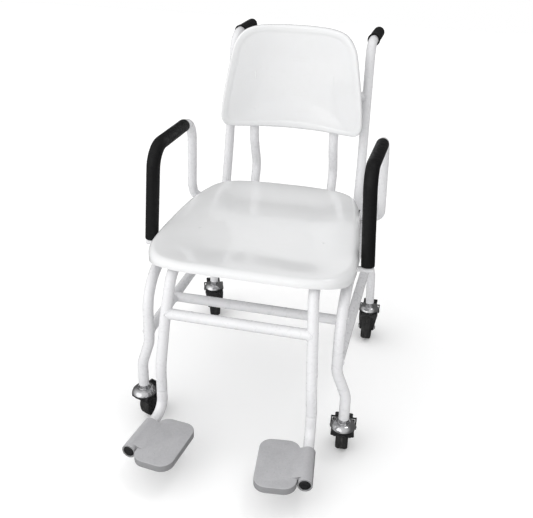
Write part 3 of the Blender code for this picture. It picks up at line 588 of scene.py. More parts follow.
def chassis_welds(side, hand):
    rail_along = Vector((side * 0.0108, 0.56, 0))
    upright_low = Vector((side * -0.054, -0.0645, 0.242))
    upright_high = Vector((side * -0.0053, 0.0417, 0.3195))
    weld(f"weld_rail_front_{hand}", (side * 0.2272, -0.24, RAIL_Z), -rail_along,
        (side * LEG_X, -0.2945, RAIL_Z), (0, 0, 1))
    weld(f"weld_rail_rear_{hand}", (side * 0.2362, 0.23, RAIL_Z), rail_along,
        (side * 0.2341, 0.267, RAIL_Z), upright_low)
    weld(f"weld_lower_crossbar_{hand}", (side * 0.2, LOWER_BAR_Y, RAIL_Z), (side, 0, 0),
        (side * 0.2295, LOWER_BAR_Y, RAIL_Z), rail_along)
    weld(f"weld_push_crossbar_{hand}", (side * 0.15, CROSSBAR_Y, CROSSBAR_Z), (side, 0, 0),
        (side * 0.1895, 0.2685, CROSSBAR_Z), upright_high)
    weld(f"weld_leg_{hand}", (side * 0.21, 0.1796, SEAT_LEVEL_Z), (side * -0.0235, 0.129, 0),
        (side * 0.2006, 0.227, SEAT_LEVEL_Z), upright_low)


for side, hand in SIDES:
    chassis_welds(side, hand)

# ---------------------------------------------------------------- castors


def hexagon(across, turn=0.0):
    r = across / 2 / cos(pi / 6)
    return [(r * cos(turn + pi / 3 * k), r * sin(turn + pi / 3 * k)) for k in range(6)]


def hex_nut(across, low, high, place, bore=0.0):
    """A hexagon with its corners chamfered on a turned cone."""
    nut = loose(block(hexagon(across, 0.3), low, high, place))
    r = across / 2 / cos(pi / 6)
    slope = (r - across / 2) * 0.55
    profile = [(0, low), (across / 2, low), (r + 0.00005, low + slope), (r + 0.00005, high - slope)]
    carve(nut, [turned(profile + [(across / 2, high), (0, high)], place, 48)], "INTERSECT")
    if bore:
        carve(nut, [turned(cylinder(bore, low - 1e-3, high + 1e-3), place, 32)])
    return nut


UPRIGHT = Matrix.Rotation(pi / 2, 4, "X")
HUB = standing((TRAIL, 0, AXLE_Z), (0, 1, 0))


def castor_stem(name, stem):
    """A domed chrome dust cap, the swivel nut and the threaded stem in the leg's insert."""
    place = Matrix.Translation(stem)
    cap = [(0.0062, 0.0968), (0.0128, 0.0966, 0.0008), (0.014, 0.0952, 0.001),
        (0.0168, 0.0968, 0.002), (0.0232, 0.0944, 0.008), (0.0282, 0.089, 0.005),
        (0.03, 0.0842, 0.0012), (0.0292, 0.0829, 0.0004), (0.0062, 0.0829)]
    piece(f"castor_cap_{name}", turned(cap, place, 72, True), CHROME, stands_for=f"castor_stem_{name}")
    nut = hex_nut(0.0178, 0.0964, 0.103, place, 0.0061)
    piece(f"castor_nut_{name}", nut, ZINC, angle=25)
    thread = [(0.0, 0.0708), (0.0072, 0.0712), (0.0078, 0.072), (0.0078, 0.0752), (0.006, 0.0758)]
    thread += [(0.006, 0.1028)]
    for k in range(7):
        z = 0.103 + 0.0012 * k
        thread += [(0.0054, z), (0.006, z + 0.0006)]
    piece(f"castor_stud_{name}", turned(thread + [(0.0054, 0.112), (0.0, 0.112)], place, 32), ZINC)
    insert = [(0.0064, 0.1062, 0), (0.0104, 0.1062, 0.0008), (0.0107, 0.118, 0), (0.0064, 0.118)]
    piece(f"leg_insert_{name}", turned(insert, place, 40, True), ZINC)


def castor_fork(name, carrier, body):
    """A moulded fork: a round crown with two ribs, and two cheeks that taper in to the axle bosses."""
    outline = [(-0.016, 0.0822), (-0.0178, 0.0765), (-0.018, 0.0665), (-0.007, 0.0585)]
    outline += arc(TRAIL, AXLE_Z, 0.0103, 205, 361, 15)
    outline += [(0.0362, 0.0665), (0.033, 0.077), (0.029, 0.0822)]
    cheeks = []
    for s in (1, -1):
        low, high = sorted((s * 0.0161, s * 0.0268))
        bm = block(outline, low, high, UPRIGHT)
        for v in bm.verts:
            if abs(v.co.y) > 0.02:
                v.co.y = s * (0.0268 - 0.0058 * min(max((0.05 - v.co.z) / 0.018, 0.0), 1.0))
        soften(bm, 0.0016)
        cheeks.append(bm)
    crown = [(0.0, 0.0825), (0.0279, 0.0825, 0.0008), (0.0283, 0.077, 0.001), (0.0262, 0.0761, 0.0006),
        (0.0, 0.0761)]
    fork = loose(turned(crown, Matrix(), 64))
    ribs = []
    for x in (-0.017, 0.03):
        bm = block([(-0.018, 0.0768), (0.018, 0.0768), (0.018, 0.082), (-0.018, 0.082)], x - 0.002,
            x + 0.002)
        for v in bm.verts:
            v.co = Vector((v.co.z, v.co.x, v.co.y))
        soften(bm, 0.0006, 2)
        ribs.append(bm)
    carve(fork, cheeks + ribs, "UNION")
    stem_bore = turned(cylinder(0.008, 0.1, 0.07), Matrix(), 32)
    axle_bore = turned(cylinder(0.0043, 0.04, -0.04), HUB, 32)
    carve(fork, [stem_bore, axle_bore])
    fork.data.transform(carrier)
    piece(f"castor_fork_{name}", fork, NYLON, body)


def castor_wheel(name, carrier, body):
    """A rubber tyre on a nylon centre with a recessed web and a steel hub tube."""
    place = carrier @ HUB
    half = 0.0149
    tyre = [(WHEEL_R, 0.004, 0), (WHEEL_R, 0.01, 0.004), (WHEEL_R - 0.0032, half, 0.003),
        (0.0272, half, 0.0008), (0.0272, -half, 0.0008), (WHEEL_R - 0.0032, -half, 0.003),
        (WHEEL_R, -0.01, 0.004), (WHEEL_R, -0.004)]
    depth = WHEEL_R - 0.0007
    grooves = [(WHEEL_R, -0.0034), (depth, -0.003), (depth, -0.0024), (WHEEL_R, -0.002),
        (WHEEL_R, 0.002), (depth, 0.0024), (depth, 0.003), (WHEEL_R, 0.0034)]
    piece(f"castor_tyre_{name}", turned(soft_profile(tyre) + grooves, place, 96, True), TYRE, body,
        stands_for=f"castor_wheel_{name}")
    centre = [(0.027, 0.013, 0), (0.025, 0.014, 0.0006), (0.0238, 0.01, 0.001),
        (0.0108, 0.0092, 0.0015), (0.0094, 0.0146, 0.0008), (0.0062, 0.0148, 0), (0.0062, -0.0148, 0),
        (0.0094, -0.0146, 0.0008), (0.0108, -0.0092, 0.0015), (0.0238, -0.01, 0.001),
        (0.025, -0.014, 0.0006), (0.027, -0.013)]
    piece(f"castor_wheel_centre_{name}", turned(centre, place, 72, True), NYLON, body)
    tube = turned(sleeve(0.0043, 0.006, 0.0153, 0.0004), place, 36, True)
    piece(f"castor_hub_tube_{name}", tube, ZINC, body)


def castor_axle(name, carrier, body):
    """A bolt with a domed head one side and a lock nut the other."""
    place = carrier @ HUB
    bolt = [(0.0, 0.0258), (0.003, 0.0256, 0.0006), (0.0063, 0.0236, 0.0008), (0.0063, 0.0222, 0.0003),
        (0.004, 0.0222), (0.004, -0.0266, 0.0004), (0.0, -0.0268)]
    piece(f"castor_axle_{name}", turned(bolt, place, 40), ZINC, body)
    piece(f"castor_axle_nut_{name}", hex_nut(0.0118, -0.0262, -0.0222, place, 0.00405), ZINC, body,
        angle=25)


FRONT_TREAD = ((0.0342, 0.0783), (0.047, 0.0801), (0.049, 0.0822), (0.047, 0.0846), (0.0342, 0.0838))
REAR_TREAD = ((0.0342, 0.0783), (0.054, 0.0839), (0.0562, 0.0866), (0.054, 0.0896), (0.0342, 0.0838))


def brake_pedal(name, carrier, side, body):
    """Two arms from the pivot carry a ribbed tread."""
    px, pz = 0.019, 0.068

    def across(outline, low, high, soft):
        return block([(side * x, z) for x, z in outline], low, high, UPRIGHT, soft)

    arm = arc(px, pz, 0.0062, 120, 301, 20)
    arm += [(0.033, 0.0768), (0.037, 0.0776), (0.037, 0.0822), (0.0318, 0.0818)]
    arms = [across(arm, 0.0276, 0.0309, 0.0008), across(arm, -0.0309, -0.0276, 0.0008)]
    tread = FRONT_TREAD if name.startswith("front") else REAR_TREAD
    plate = loose(across(tread, -0.0214, 0.0214, 0.001))
    bridge = [(0.0345, 0.0779), (0.0368, 0.0781), (0.0368, 0.082), (0.0345, 0.0819)]
    arms.append(across(bridge, -0.029, 0.029, 0.0006))
    (ax, az), (bx, bz) = tread[4], tread[3]
    for k in range(3):
        x = ax + (bx - ax) * (0.38 + 0.25 * k)
        z = az + (bz - az) * (0.38 + 0.25 * k)
        rib = [(x - 0.0007, z - 0.001), (x + 0.0007, z - 0.001), (x + 0.0005, z + 0.0012),
            (x - 0.0005, z + 0.0012)]
        arms.append(across(rib, -0.0185, 0.0185, 0.0))
    carve(plate, arms, "UNION")
    plate.data.transform(carrier)
    piece(f"brake_pedal_{name}", plate, NYLON, body)
    pin = [(0.0, 0.0322), (0.0024, 0.032, 0.0008), (0.0034, 0.031, 0.0004), (0.0022, 0.0309)]
    pin += [(0.0022, 0.027), (0.0, 0.027)]
    for end, out in (("a", 1), ("b", -1)):
        spot = carrier @ standing((side * px, 0, pz), (0, out, 0))
        piece(f"brake_pin_{end}_{name}", turned(pin, spot, 28), ZINC, body)


for name, stem, heading, pedal_side in CASTORS:
    carrier = Matrix.Translation(stem) @ Matrix.Rotation(radians(heading), 4, "Z")
    castor_stem(name, stem)
    castor_fork(name, carrier, f"castor_{name}")
    castor_wheel(name, carrier, f"wheel_{name}")
    castor_axle(name, carrier, f"castor_{name}")
    brake_pedal(name, carrier, pedal_side, f"brake_{name}")

# ---------------------------------------------------------------- armrests


def shortened(path, start, length):
    """The stretch of a path that begins this far from its start and runs for this length."""
    kept = []
    gone = 0.0
    for a, b in zip(path, path[1:]):
        run = (b - a).length
        for mark in (start, start + length):
            if gone <= mark < gone + run:
                kept.append(a + (b - a) * (mark - gone) / run)
        gone += run
        if start < gone < start + length:
            kept.append(b)
    return kept


def armrest(side, hand):
    corners = side_of(((0.263, -0.1655, REST_BAR_Z + REST_BAR_R + 0.0012), (0.2495, -0.163, 0.674),
        (0.258, 0.1215, 0.674), (0.2635, 0.127, 0.49), (0.264, PIVOT_Y, PIVOT_Z),
        (0.12, PIVOT_Y, PIVOT_Z)), side)
    path = rounded_path(corners, (0.05, 0.06, 0.05, 0.026))
    body = f"armrest_{hand}"
    tube_piece(f"armrest_tube_{hand}", path, open_end(), cut_end(), body=body)
    foam_end = [(-0.012, 0.0128), (-0.0002, 0.0128), (0.0, 0.0132), (0.0, 0.0146), (-0.0004, 0.0154)]
    foam_end += [(-0.0012, 0.0158), (-0.0024, 0.016)]
    piece(f"armrest_pad_{hand}", rod(shortened(path, 0.0015, 0.424), 0.016, foam_end), FOAM, body,
        angle=60)
    bush = [(0.0128, 0.0), (0.0152, 0.0, 0.0006), (0.0152, 0.0022, 0.0008), (0.0128, 0.0022)]
    piece(f"armrest_bush_{hand}", turned(bush,
        standing((side * (PIVOT_TUBE_HALF + 0.0002), PIVOT_Y, PIVOT_Z), (side, 0, 0)), 40, True), NYLON)


for side, hand in SIDES:
    armrest(side, hand)

tube_piece("armrest_rest_bar", [(-0.276, REST_BAR_Y, REST_BAR_Z), (0.276, REST_BAR_Y, REST_BAR_Z)],
    cut_end(REST_BAR_R), radius=REST_BAR_R)
piece("armrest_pivot_tube", turned(sleeve(0.0131, PIVOT_TUBE_R, PIVOT_TUBE_HALF, 0.0006),
    standing((0, PIVOT_Y, PIVOT_Z), (1, 0, 0)), 48, True))

# ---------------------------------------------------------------- footrests


def footrest(side, hand):
    corners = side_of((FOOT_SEAM + Vector((0, 0, 0.0003)), FOOT_SEAM + Vector((0, 0, 0.014)),
        (0.1775, -0.343, 0.205), (0.17, -0.324, 0.33), (0.161, -0.296, RUN_Z), (RUN_X, PIVOT_Y, RUN_Z)),
        side)
    path = rounded_path(corners, (0.1, 0.15, 0.15, 0.045))
    tube_piece(f"foot_frame_tube_{hand}", path, cut_end(), hidden_end())
    forward = (FOOT_AXIS_FRONT - FOOT_AXIS_BACK).normalized()
    corner = FOOT_AXIS_BACK - forward * (FOOT_SEAM.y - FOOT_AXIS_BACK.y) / -forward.y
    elbow = rounded_path(side_of((FOOT_SEAM, corner, FOOT_AXIS_FRONT), side), (0.036,))
    tube_piece(f"foot_elbow_{hand}", elbow, cut_end())
    forward = (elbow[-1] - elbow[-2]).normalized()
    plug = [(0.0, 0.0042), (0.0085, 0.004, 0.002), (0.0112, 0.0034, 0.0014), (0.0124, 0.0016, 0.0006),
        (0.0124, 0.0003, 0), (0.0, 0.0003)]
    piece(f"foot_tube_plug_{hand}", turned(plug, standing(elbow[-1], forward), 44), NYLON)
    footplate(side, hand, forward)
    weld(f"weld_foot_crossbar_{hand}", (side * 0.13, FOOT_BAR_Y, FOOT_BAR_Z), (side, 0, 0),
        (side * 0.1689, -0.3212, 0.34), (side * -0.0085, 0.024, 0.118))
    weld(f"weld_foot_frame_{hand}", (side * RUN_X, 0.1, RUN_Z), (0, 1, 0),
        (side * RUN_X, PIVOT_Y, PIVOT_Z), (1, 0, 0), main_r=PIVOT_TUBE_R)
    weld(f"weld_rest_bar_{hand}", (side * 0.22, REST_BAR_Y, REST_BAR_Z), (-side, 0, 0),
        (side * RUN_X, REST_BAR_Y, RUN_Z), (0, 1, 0), branch_r=REST_BAR_R)


def plate_outline():
    """The tread's outline with round corners and a notch each end of the hinge barrel."""
    rear, front, edge, reach, r = -0.0155, 0.1325, 0.0172, 0.109, 0.028
    corners = []
    for cx, cy, start in ((front - r, reach - r, 0), (rear + r, reach - r, 90),
        (rear + r, edge + r, 180), (front - r, edge + r, 270)):
        corners.append(arc(cx, cy, r, start, start + 91, 9))
    low = [p for p in corners[2] if p[0] < HUB_REAR]
    web = [(HUB_REAR + 0.0006, 0.018), (HUB_REAR + 0.0006, 0.0), (0.0994, 0.0), (0.0994, edge)]
    return corners[0] + corners[1] + low + web + corners[3]


STUD = [(0.0, 0.0097), (0.0007, 0.00962), (0.0013, 0.00935), (0.0017, 0.0089), (0.0017, 0.008),
    (0.0, 0.008)]


def footplate(side, hand, forward):
    """A moulded tread with rounded edges and a hinge barrel, studded with small domes."""
    across = Vector((0, 0, 1)).cross(forward)
    turn = Matrix((forward, across, (0, 0, 1))).transposed().to_4x4()
    carrier = Matrix.Translation(side_of([FOOT_AXIS_BACK], side)[0]) @ turn
    outline = [(x, -side * y) for x, y in plate_outline()]
    plate = loose(block(outline, -0.008, 0.009, soft=0.0016, segments=3, angle=50))
    hinge = standing((0, 0, 0), (1, 0, 0))
    end = 0.1076
    barrel = [(0.0, HUB_REAR), (0.0165, HUB_REAR, 0.0008), (0.0165, end, 0.0008), (0.0, end)]
    carve(plate, [turned(barrel, hinge, 64)], "UNION")
    fillet = [(0.004, 0.003), (0.004, 0.016), (0.011, 0.014), (0.02, 0.0108), (0.029, 0.0091),
        (0.029, 0.003)]
    along_hinge = Matrix(((0, 0, 1), (1, 0, 0), (0, 1, 0))).to_4x4()
    outline = [(-side * y, z) for y, z in fillet]
    bm = block(outline, HUB_REAR + 0.0012, 0.0986, along_hinge, 0.0006, angle=25)
    carve(plate, [bm], "UNION")
    carve(plate, [turned(cylinder(0.013, -0.03, 0.14), hinge)])
    plate.data.transform(carrier)
    body = f"footrest_{hand}"
    piece(f"footplate_{hand}", plate, GREY, body, angle=40)
    bm = bmesh.new()
    pitch = 0.0145
    for row in range(9):
        x = 0.0005 + pitch * row
        shift = 0.5 * (row % 2)
        for column in range(6):
            y = 0.0245 + pitch * (column + shift)
            inset_x = max(0.014 - x, x - 0.103, 0.0)
            inset_y = max(0.0452 - y, y - 0.08, 0.0)
            if 0.03 <= y <= 0.101 and (inset_x**2 + inset_y**2) ** 0.5 <= 0.0225:
                lathe(bm, STUD, carrier @ Matrix.Translation((x, -side * y, 0)), 14)
    piece(f"footplate_studs_{hand}", bm, GREY, body, angle=60)


for side, hand in SIDES:
    footrest(side, hand)
tube_piece("foot_crossbar", [(-0.166, FOOT_BAR_Y, FOOT_BAR_Z), (0.166, FOOT_BAR_Y, FOOT_BAR_Z)])

# ---------------------------------------------------------------- shells


def smoothstep(t):
    t = min(max(t, 0.0), 1.0)
    return t * t * (3 - 2 * t)


def seat_rim_z(y):
    return 0.465 + 0.037 * smoothstep((y + 0.315) / 0.34)


def seat_skirt_z(y):
    """The skirt hangs lowest at the front corners and rises over the rest bar and the armrest pivots."""
    front = 0.008 * smoothstep((-y - 0.26) / 0.05)
    rest_bar = 0.008 * smoothstep((y + 0.27) / 0.09)
    pivots = 0.02 * smoothstep((y + 0.17) / 0.25)
    return 0.438 + front + rest_bar + pivots


def spline_through(points, steps):
    """A smooth closed curve through the points."""
    count = len(points)
    curve = []
    for i in range(count):
        a, b, c, d = (Vector(points[(i + k) % count]) for k in (-1, 0, 1, 2))
        for s in range(steps):
            t = s / steps
            bend = (2 * a - 5 * b + 4 * c - d) * t**2 + (3 * b - a - 3 * c + d) * t**3
            curve.append(b + 0.5 * ((c - a) * t + bend))
    return curve


SEAT_HALF = ((0.08, -0.315), (0.15, -0.312), (0.205, -0.293), (0.236, -0.248), (0.2425, -0.188),
    (0.23, -0.065), (0.217, 0.033), (0.207, 0.085), (0.188, 0.135), (0.145, 0.167), (0.07, 0.18))
BACKREST_HALF = ((0.08, 0.65), (0.15, 0.65), (0.178, 0.654), (0.1905, 0.672), (0.1905, 0.7),
    (0.184, 0.752), (0.167, 0.845), (0.156, 0.879), (0.134, 0.905), (0.1, 0.917), (0.05, 0.921))
SEAT_MIDDLE = Vector((0.0, -0.06))
BACKREST_MIDDLE = Vector((0.0, 0.78))
INNER_SHARES = (0.85, 0.7, 0.55, 0.4, 0.25, 0.12)


def whole_outline(half, start, end, steps=9):
    left = [(0.0, start), *half, (0.0, end)]
    right = [(-x, y) for x, y in reversed(half)]
    return spline_through(left + right, steps)


def shrunk(p, middle, inset):
    away = p - middle
    return middle + away * (1 - inset / away.length)


def seat_top(q, inset, roll):
    """Height of the sitting surface: a broad rolled rim, a dish, and a shallower front."""
    depth = 0.015 - 0.0035 * smoothstep((-0.15 - q.y) / 0.13)
    return seat_rim_z(q.y) - depth * smoothstep((inset - roll * 0.6) / 0.125)


def shell_mesh(rings, name):
    """Skins the rings and closes the last on its centre, then gives the skin its wall."""
    bm = bmesh.new()
    rows = [[bm.verts.new(p) for p in ring] for ring in rings[:-1]]
    rows.append([bm.verts.new(rings[-1])])
    skin(bm, rows)
    made = loose(bm, name)
    wall = made.modifiers.new("wall", "SOLIDIFY")
    wall.thickness = 0.0038
    wall.offset = -1.0
    wall.use_even_offset = True
    return applied(made)


def seat_shell():
    outline = whole_outline(SEAT_HALF, -0.3155, 0.182)
    roll = 0.016

    def top_ring(points, inset, drop=0.0):
        return [(q.x, q.y, seat_top(q, inset, roll) - drop) for q in points]

    def inset_outline(inset):
        return [shrunk(p, SEAT_MIDDLE, inset) for p in outline]

    rings = []
    for lift in (0.0, 0.5, 1.0):
        ring = []
        for p in outline:
            low = seat_skirt_z(p.y)
            ring.append((p.x, p.y, low + (seat_rim_z(p.y) - roll - low) * lift))
        rings.append(ring)
    for k in range(1, 10):
        a = radians(10 * k)
        inset = roll * (1 - cos(a))
        rings.append(top_ring(inset_outline(inset), inset, roll * (1 - sin(a))))
    inset = roll
    while inset < 0.14:
        inset += 0.006
        rings.append(top_ring(inset_outline(inset), inset))
    inner = [Vector(p).to_2d() for p in rings[-1]]
    for share in INNER_SHARES:
        rings.append(top_ring([SEAT_MIDDLE + (p - SEAT_MIDDLE) * share for p in inner], inset))
    rings.append((0, SEAT_MIDDLE.y, seat_top(SEAT_MIDDLE, inset, roll)))
    shell = shell_mesh(rings, "seat_shell")
    piece("seat_shell", shell, SHELL_WHITE, angle=50)
    for side, hand in SIDES:
        for y, top, place in ((-0.12, 0.4745, "front"), (0.04, 0.495, "rear")):
            boss(f"seat_boss_{place}_{hand}", (side * RUN_X, y, RUN_Z + TUBE_R - 0.0012), (0, 0, 1),
                top - RUN_Z - TUBE_R + 0.0012, (0.01, 0.012))
            button_screw(f"seat_screw_{place}_{hand}", (side * RUN_X, y, RUN_Z - TUBE_R + 0.0006),
                (0, 0, -1), SCREW_R)


def boss(name, foot, axis, height, half):
    """A moulded post under a shell."""
    outline = round_rectangle((-half[0], -half[1]), half, 0.003)
    piece(name, block(outline, 0.0, height, standing(foot, axis)), SHELL_WHITE)


def button_screw(name, place, axis, r):
    """A button-head screw with a hexagon socket."""
    spot = standing(place, axis)
    h = r * 0.55
    head = [(0.0, h), (r * 0.45, h, r * 0.2), (r * 0.96, h * 0.25, r * 0.12), (r, -0.0004, 0),
        (0.0, -0.0004)]
    made = loose(turned(head, spot, 36))
    carve(made, [block(hexagon(r * 0.72), h * 0.35, h + 0.002, spot)])
    piece(name, made, ZINC, angle=30)


def backrest_offset(inset, roll):
    """How far the panel's face lies behind its rim: a crease inside the border, then a slow hollow."""
    crease = 0.0012 * smoothstep((inset - roll - 0.006) / 0.008)
    return crease + 0.0038 * smoothstep((inset - roll) / 0.1)


def backrest_shell():
    outline = whole_outline(BACKREST_HALF, 0.65, 0.9215)
    roll = 0.008

    def at(p, inset, back):
        q = shrunk(p, BACKREST_MIDDLE, inset)
        return (q.x, BACK_Y - BACK_CURVE * q.x**2 + back, q.y)

    rings = [[at(p, 0.0, 0.014) for p in outline], [at(p, 0.0, 0.011) for p in outline]]
    for k in range(0, 10):
        a = radians(10 * k)
        rings.append([at(p, roll * (1 - cos(a)), roll * (1 - sin(a))) for p in outline])
    inset = roll
    while inset < 0.1:
        inset += 0.002 if inset < 0.026 else 0.006
        rings.append([at(p, inset, backrest_offset(inset, roll)) for p in outline])
    inner = [shrunk(p, BACKREST_MIDDLE, inset) for p in outline]
    for share in INNER_SHARES:
        points = [BACKREST_MIDDLE + (p - BACKREST_MIDDLE) * share for p in inner]
        rings.append([(q.x, BACK_Y - BACK_CURVE * q.x**2 + 0.005, q.y) for q in points])
    rings.append((0, BACK_Y + 0.005, BACKREST_MIDDLE.y))
    shell = shell_mesh(rings, "backrest_shell")
    piece("backrest_shell", shell, SHELL_WHITE, angle=50)
    front = BACK_Y - BACK_CURVE * BACK_TUBE_X**2
    for side, hand in SIDES:
        for z, place in ((0.69, "low"), (0.79, "high")):
            boss(f"backrest_boss_{place}_{hand}", (side * BACK_TUBE_X, BACK_TUBE_Y - TUBE_R + 0.0012,
                z), (0, -1, 0), BACK_TUBE_Y - TUBE_R - front - 0.005 + 0.0008, (0.008, 0.012))
            button_screw(f"backrest_screw_{place}_{hand}",
                (side * BACK_TUBE_X, BACK_TUBE_Y + TUBE_R - 0.0006, z), (0, 1, 0), SCREW_R)


seat_shell()
backrest_shell()

for side, hand in SIDES:
    corners = side_of(((BACK_TUBE_X, PIVOT_Y, PIVOT_Z), (BACK_TUBE_X, 0.232, PIVOT_Z),
        (BACK_TUBE_X, 0.261, 0.523), (BACK_TUBE_X, BACK_TUBE_Y, 0.61),
        (BACK_TUBE_X, BACK_TUBE_Y, BACK_TUBE_TOP)), side)
    path = rounded_path(corners, (0.04, 0.05, 0.08))
    tube_piece(f"back_tube_{hand}", path, hidden_end(), open_end())
    cap = [(0.0, 0.0032), (0.008, 0.003, 0.003), (0.0122, 0.0014, 0.001), (0.0122, 0.0002),
        (0.0, 0.0002)]
    piece(f"back_tube_cap_{hand}", turned(cap, standing(path[-1]), 40), NYLON)
    weld(f"weld_back_tube_{hand}", (side * BACK_TUBE_X, 0.2, PIVOT_Z), (0, -1, 0),
        (side * BACK_TUBE_X, PIVOT_Y, PIVOT_Z), (1, 0, 0), main_r=PIVOT_TUBE_R)

# ---------------------------------------------------------------- weighing gear

CELL_FRONT, CELL_REAR, CELL_LOW, CELL_HIGH, CELL_HALF_WIDTH = -0.09, 0.08, 0.3982, 0.4222, 0.017


def round_box(low, high, radius=0.002, segments=3, place=Matrix()):
    """A box with every edge rounded."""
    outline = [(low[0], low[1]), (high[0], low[1]), (high[0], high[1]), (low[0], high[1])]
    bm = block(outline, low[2], high[2], soft=radius, segments=segments)
    bmesh.ops.transform(bm, matrix=place, verts=bm.verts)
    return loose(bm)


def drill(made, place, axis, r, length, steps=32):
    carve(made, [turned(cylinder(r, -length, length), standing(place, axis), steps)])


def cap_screw(name, place, axis, r):
    """A socket cap screw: knurled head, hexagon socket."""
    spot = standing(place, axis)
    bm = bmesh.new()
    count, h = 60, r * 1.15
    rows = ((r * 0.97, 0.0, 1), (r, r * 0.06, 1), (r, h * 0.82, 1), (r * 0.97, h * 0.9, 0),
        (r * 0.86, h, 0))
    rings = [[bm.verts.new(spot.translation)]]
    for radius, z, knurl in rows:
        ring = []
        for k in range(count):
            rr = radius * (1 - 0.025 * knurl * (k % 2))
            ring.append(bm.verts.new(spot @ Vector((rr * cos(2 * pi * k / count),
                rr * sin(2 * pi * k / count), z))))
        rings.append(ring)
    rings.append([bm.verts.new(spot @ Vector((0, 0, h)))])
    skin(bm, rings)
    made = loose(bm)
    carve(made, [block(hexagon(r * 0.95), h * 0.45, h + 0.002, spot)])
    piece(name, made, ZINC, angle=30)


def evenly(points, count):
    """This many points at equal spacing round a closed loop."""
    loop = [Vector(p) for p in points]
    loop.append(loop[0])
    lengths = [(b - a).length for a, b in zip(loop, loop[1:])]
    whole = sum(lengths)
    out, i, gone = [], 0, 0.0
    for k in range(count):
        mark = whole * k / count
        while gone + lengths[i] < mark:
            gone += lengths[i]
            i += 1
        out.append(loop[i].lerp(loop[i + 1], (mark - gone) / lengths[i]))
    return out


def chassis_beam():
    top = [(0.12, CELL_LOW - 0.0003), (0.15, BEAM_END_HIGH), (0.224, BEAM_END_HIGH)]
    low = [(0.224, BEAM_END_LOW), (0.156, BEAM_END_LOW), (0.126, 0.378)]
    middle_y = CELL_FRONT + 0.027
    right_top = rounded_path([(0, 0, top[0][1])] + [(x, 0, z) for x, z in top], (0.012, 0.012))
    right_low = rounded_path([(x, 0, z) for x, z in low] + [(0, 0, low[2][1])], (0.014, 0.014))
    half = right_top[1:] + right_low[:-1]
    outline = [(p.x, p.z) for p in half] + [(-p.x, p.z) for p in reversed(half)]
    bm = block(outline, -BEAM_HALF, BEAM_HALF, soft=0.0022, segments=3, angle=60)
    bmesh.ops.transform(bm, matrix=Matrix.Translation((0, middle_y, 0)) @ UPRIGHT, verts=bm.verts)
    piece("chassis_beam", bm)
    for side, hand in SIDES:
        end = round_rectangle((middle_y - BEAM_HALF, BEAM_END_LOW), (middle_y + BEAM_HALF,
            BEAM_END_HIGH), 0.003)
        loop = evenly(end, 102)
        points, outs = [], []
        centre = Vector((middle_y, (BEAM_END_LOW + BEAM_END_HIGH) / 2))
        for p in loop:
            dz = p.y - SEAT_LEVEL_Z
            points.append(Vector((side * (LEG_X - (TUBE_R**2 - dz**2) ** 0.5), p.x, p.y)))
            out = Vector((0.0, p.x - centre.x, (p.y - centre.y) * 3))
            outs.append(out.normalized())
        bead_loop(f"weld_beam_{hand}", points, outs)


def weighing_gear():
    cell = round_box((-CELL_HALF_WIDTH, CELL_FRONT, CELL_LOW), (CELL_HALF_WIDTH, CELL_REAR, CELL_HIGH),
        0.0007, 2)
    middle = (CELL_LOW + CELL_HIGH) / 2
    for y in (-0.025, 0.015):
        drill(cell, (0, y, middle), (1, 0, 0), 0.0085, 0.03, 48)
    slot = round_box((-0.03, -0.025, middle - 0.003), (0.03, 0.015, middle + 0.003), 0.0002, 1)
    carve(cell, [slot])
    piece("load_cell", cell, MILLED, angle=25)
    bm = rod([(-CELL_HALF_WIDTH - 0.0002, -0.012, middle + 0.008),
        (-CELL_HALF_WIDTH - 0.0002, 0.002, middle + 0.008)], 0.0022,
        [(0.002, 0.0006), (0.0016, 0.0015), (0.0006, 0.0021)], sides=16)
    piece("load_cell_seal", bm, TYRE)
    plate = round_box((-0.172, 0.02, CELL_HIGH + 0.0003), (0.172, CELL_REAR, RUN_Z - TUBE_R - 0.0003),
        0.0009, 2)
    for x in (-0.1, -0.055, 0.055, 0.1):
        drill(plate, (x, 0.05, CELL_HIGH), (0, 0, 1), 0.0075, 0.02, 32)
    piece("seat_frame_plate", plate)
    for k, y in enumerate((0.046, 0.068)):
        cap_screw(f"plate_screw_{k + 1}", (0, y, RUN_Z - TUBE_R - 0.0003), (0, 0, 1), SCREW_R)
    for k, y in enumerate((-0.075, -0.053)):
        cap_screw(f"beam_screw_{k + 1}", (0, y, 0.378), (0, 0, -1), SCREW_R)
    cable = rounded_path([(CELL_HALF_WIDTH - 0.001, -0.055, 0.41), (0.04, -0.055, 0.41),
        (0.07, -0.025, 0.41), (LEG_X - TUBE_R + 0.001, -0.025, 0.415)], (0.02, 0.02))
    piece("load_cell_cable", rod(cable, 0.0025, hidden_end(0.0025), sides=20), NYLON)
    gland = [(0.0, 0.0), (0.0058, 0.0, 0.0006), (0.0058, 0.004, 0.0008), (0.0036, 0.0062, 0.0008),
        (0.003, 0.009), (0.0, 0.009)]
    piece("cable_gland", turned(gland, standing((CELL_HALF_WIDTH - 0.0002, -0.055, 0.41),
        (1, 0, 0)), 32), NYLON)
    grommet = [(0.0024, 0.0), (0.0056, 0.0, 0.0008), (0.0056, 0.0022, 0.001), (0.0024, 0.003)]
    piece("cable_grommet", turned(grommet,
        standing((LEG_X - TUBE_R + 0.0004, -0.025, 0.415), (-1, 0, 0)), 32, True), TYRE)
    for side, hand in SIDES:
        for k, y in enumerate((0.0196, 0.0804)):
            strip = round_box((side * RUN_X - 0.0095, y - 0.0016, RUN_Z - TUBE_R - 0.0022),
                (side * RUN_X + 0.0095, y + 0.0016, RUN_Z - TUBE_R + 0.001), 0.0012, 3)
            piece(f"weld_plate_{k + 1}_{hand}", strip, angle=60)


chassis_beam()
weighing_gear()

# ---------------------------------------------------------------- display


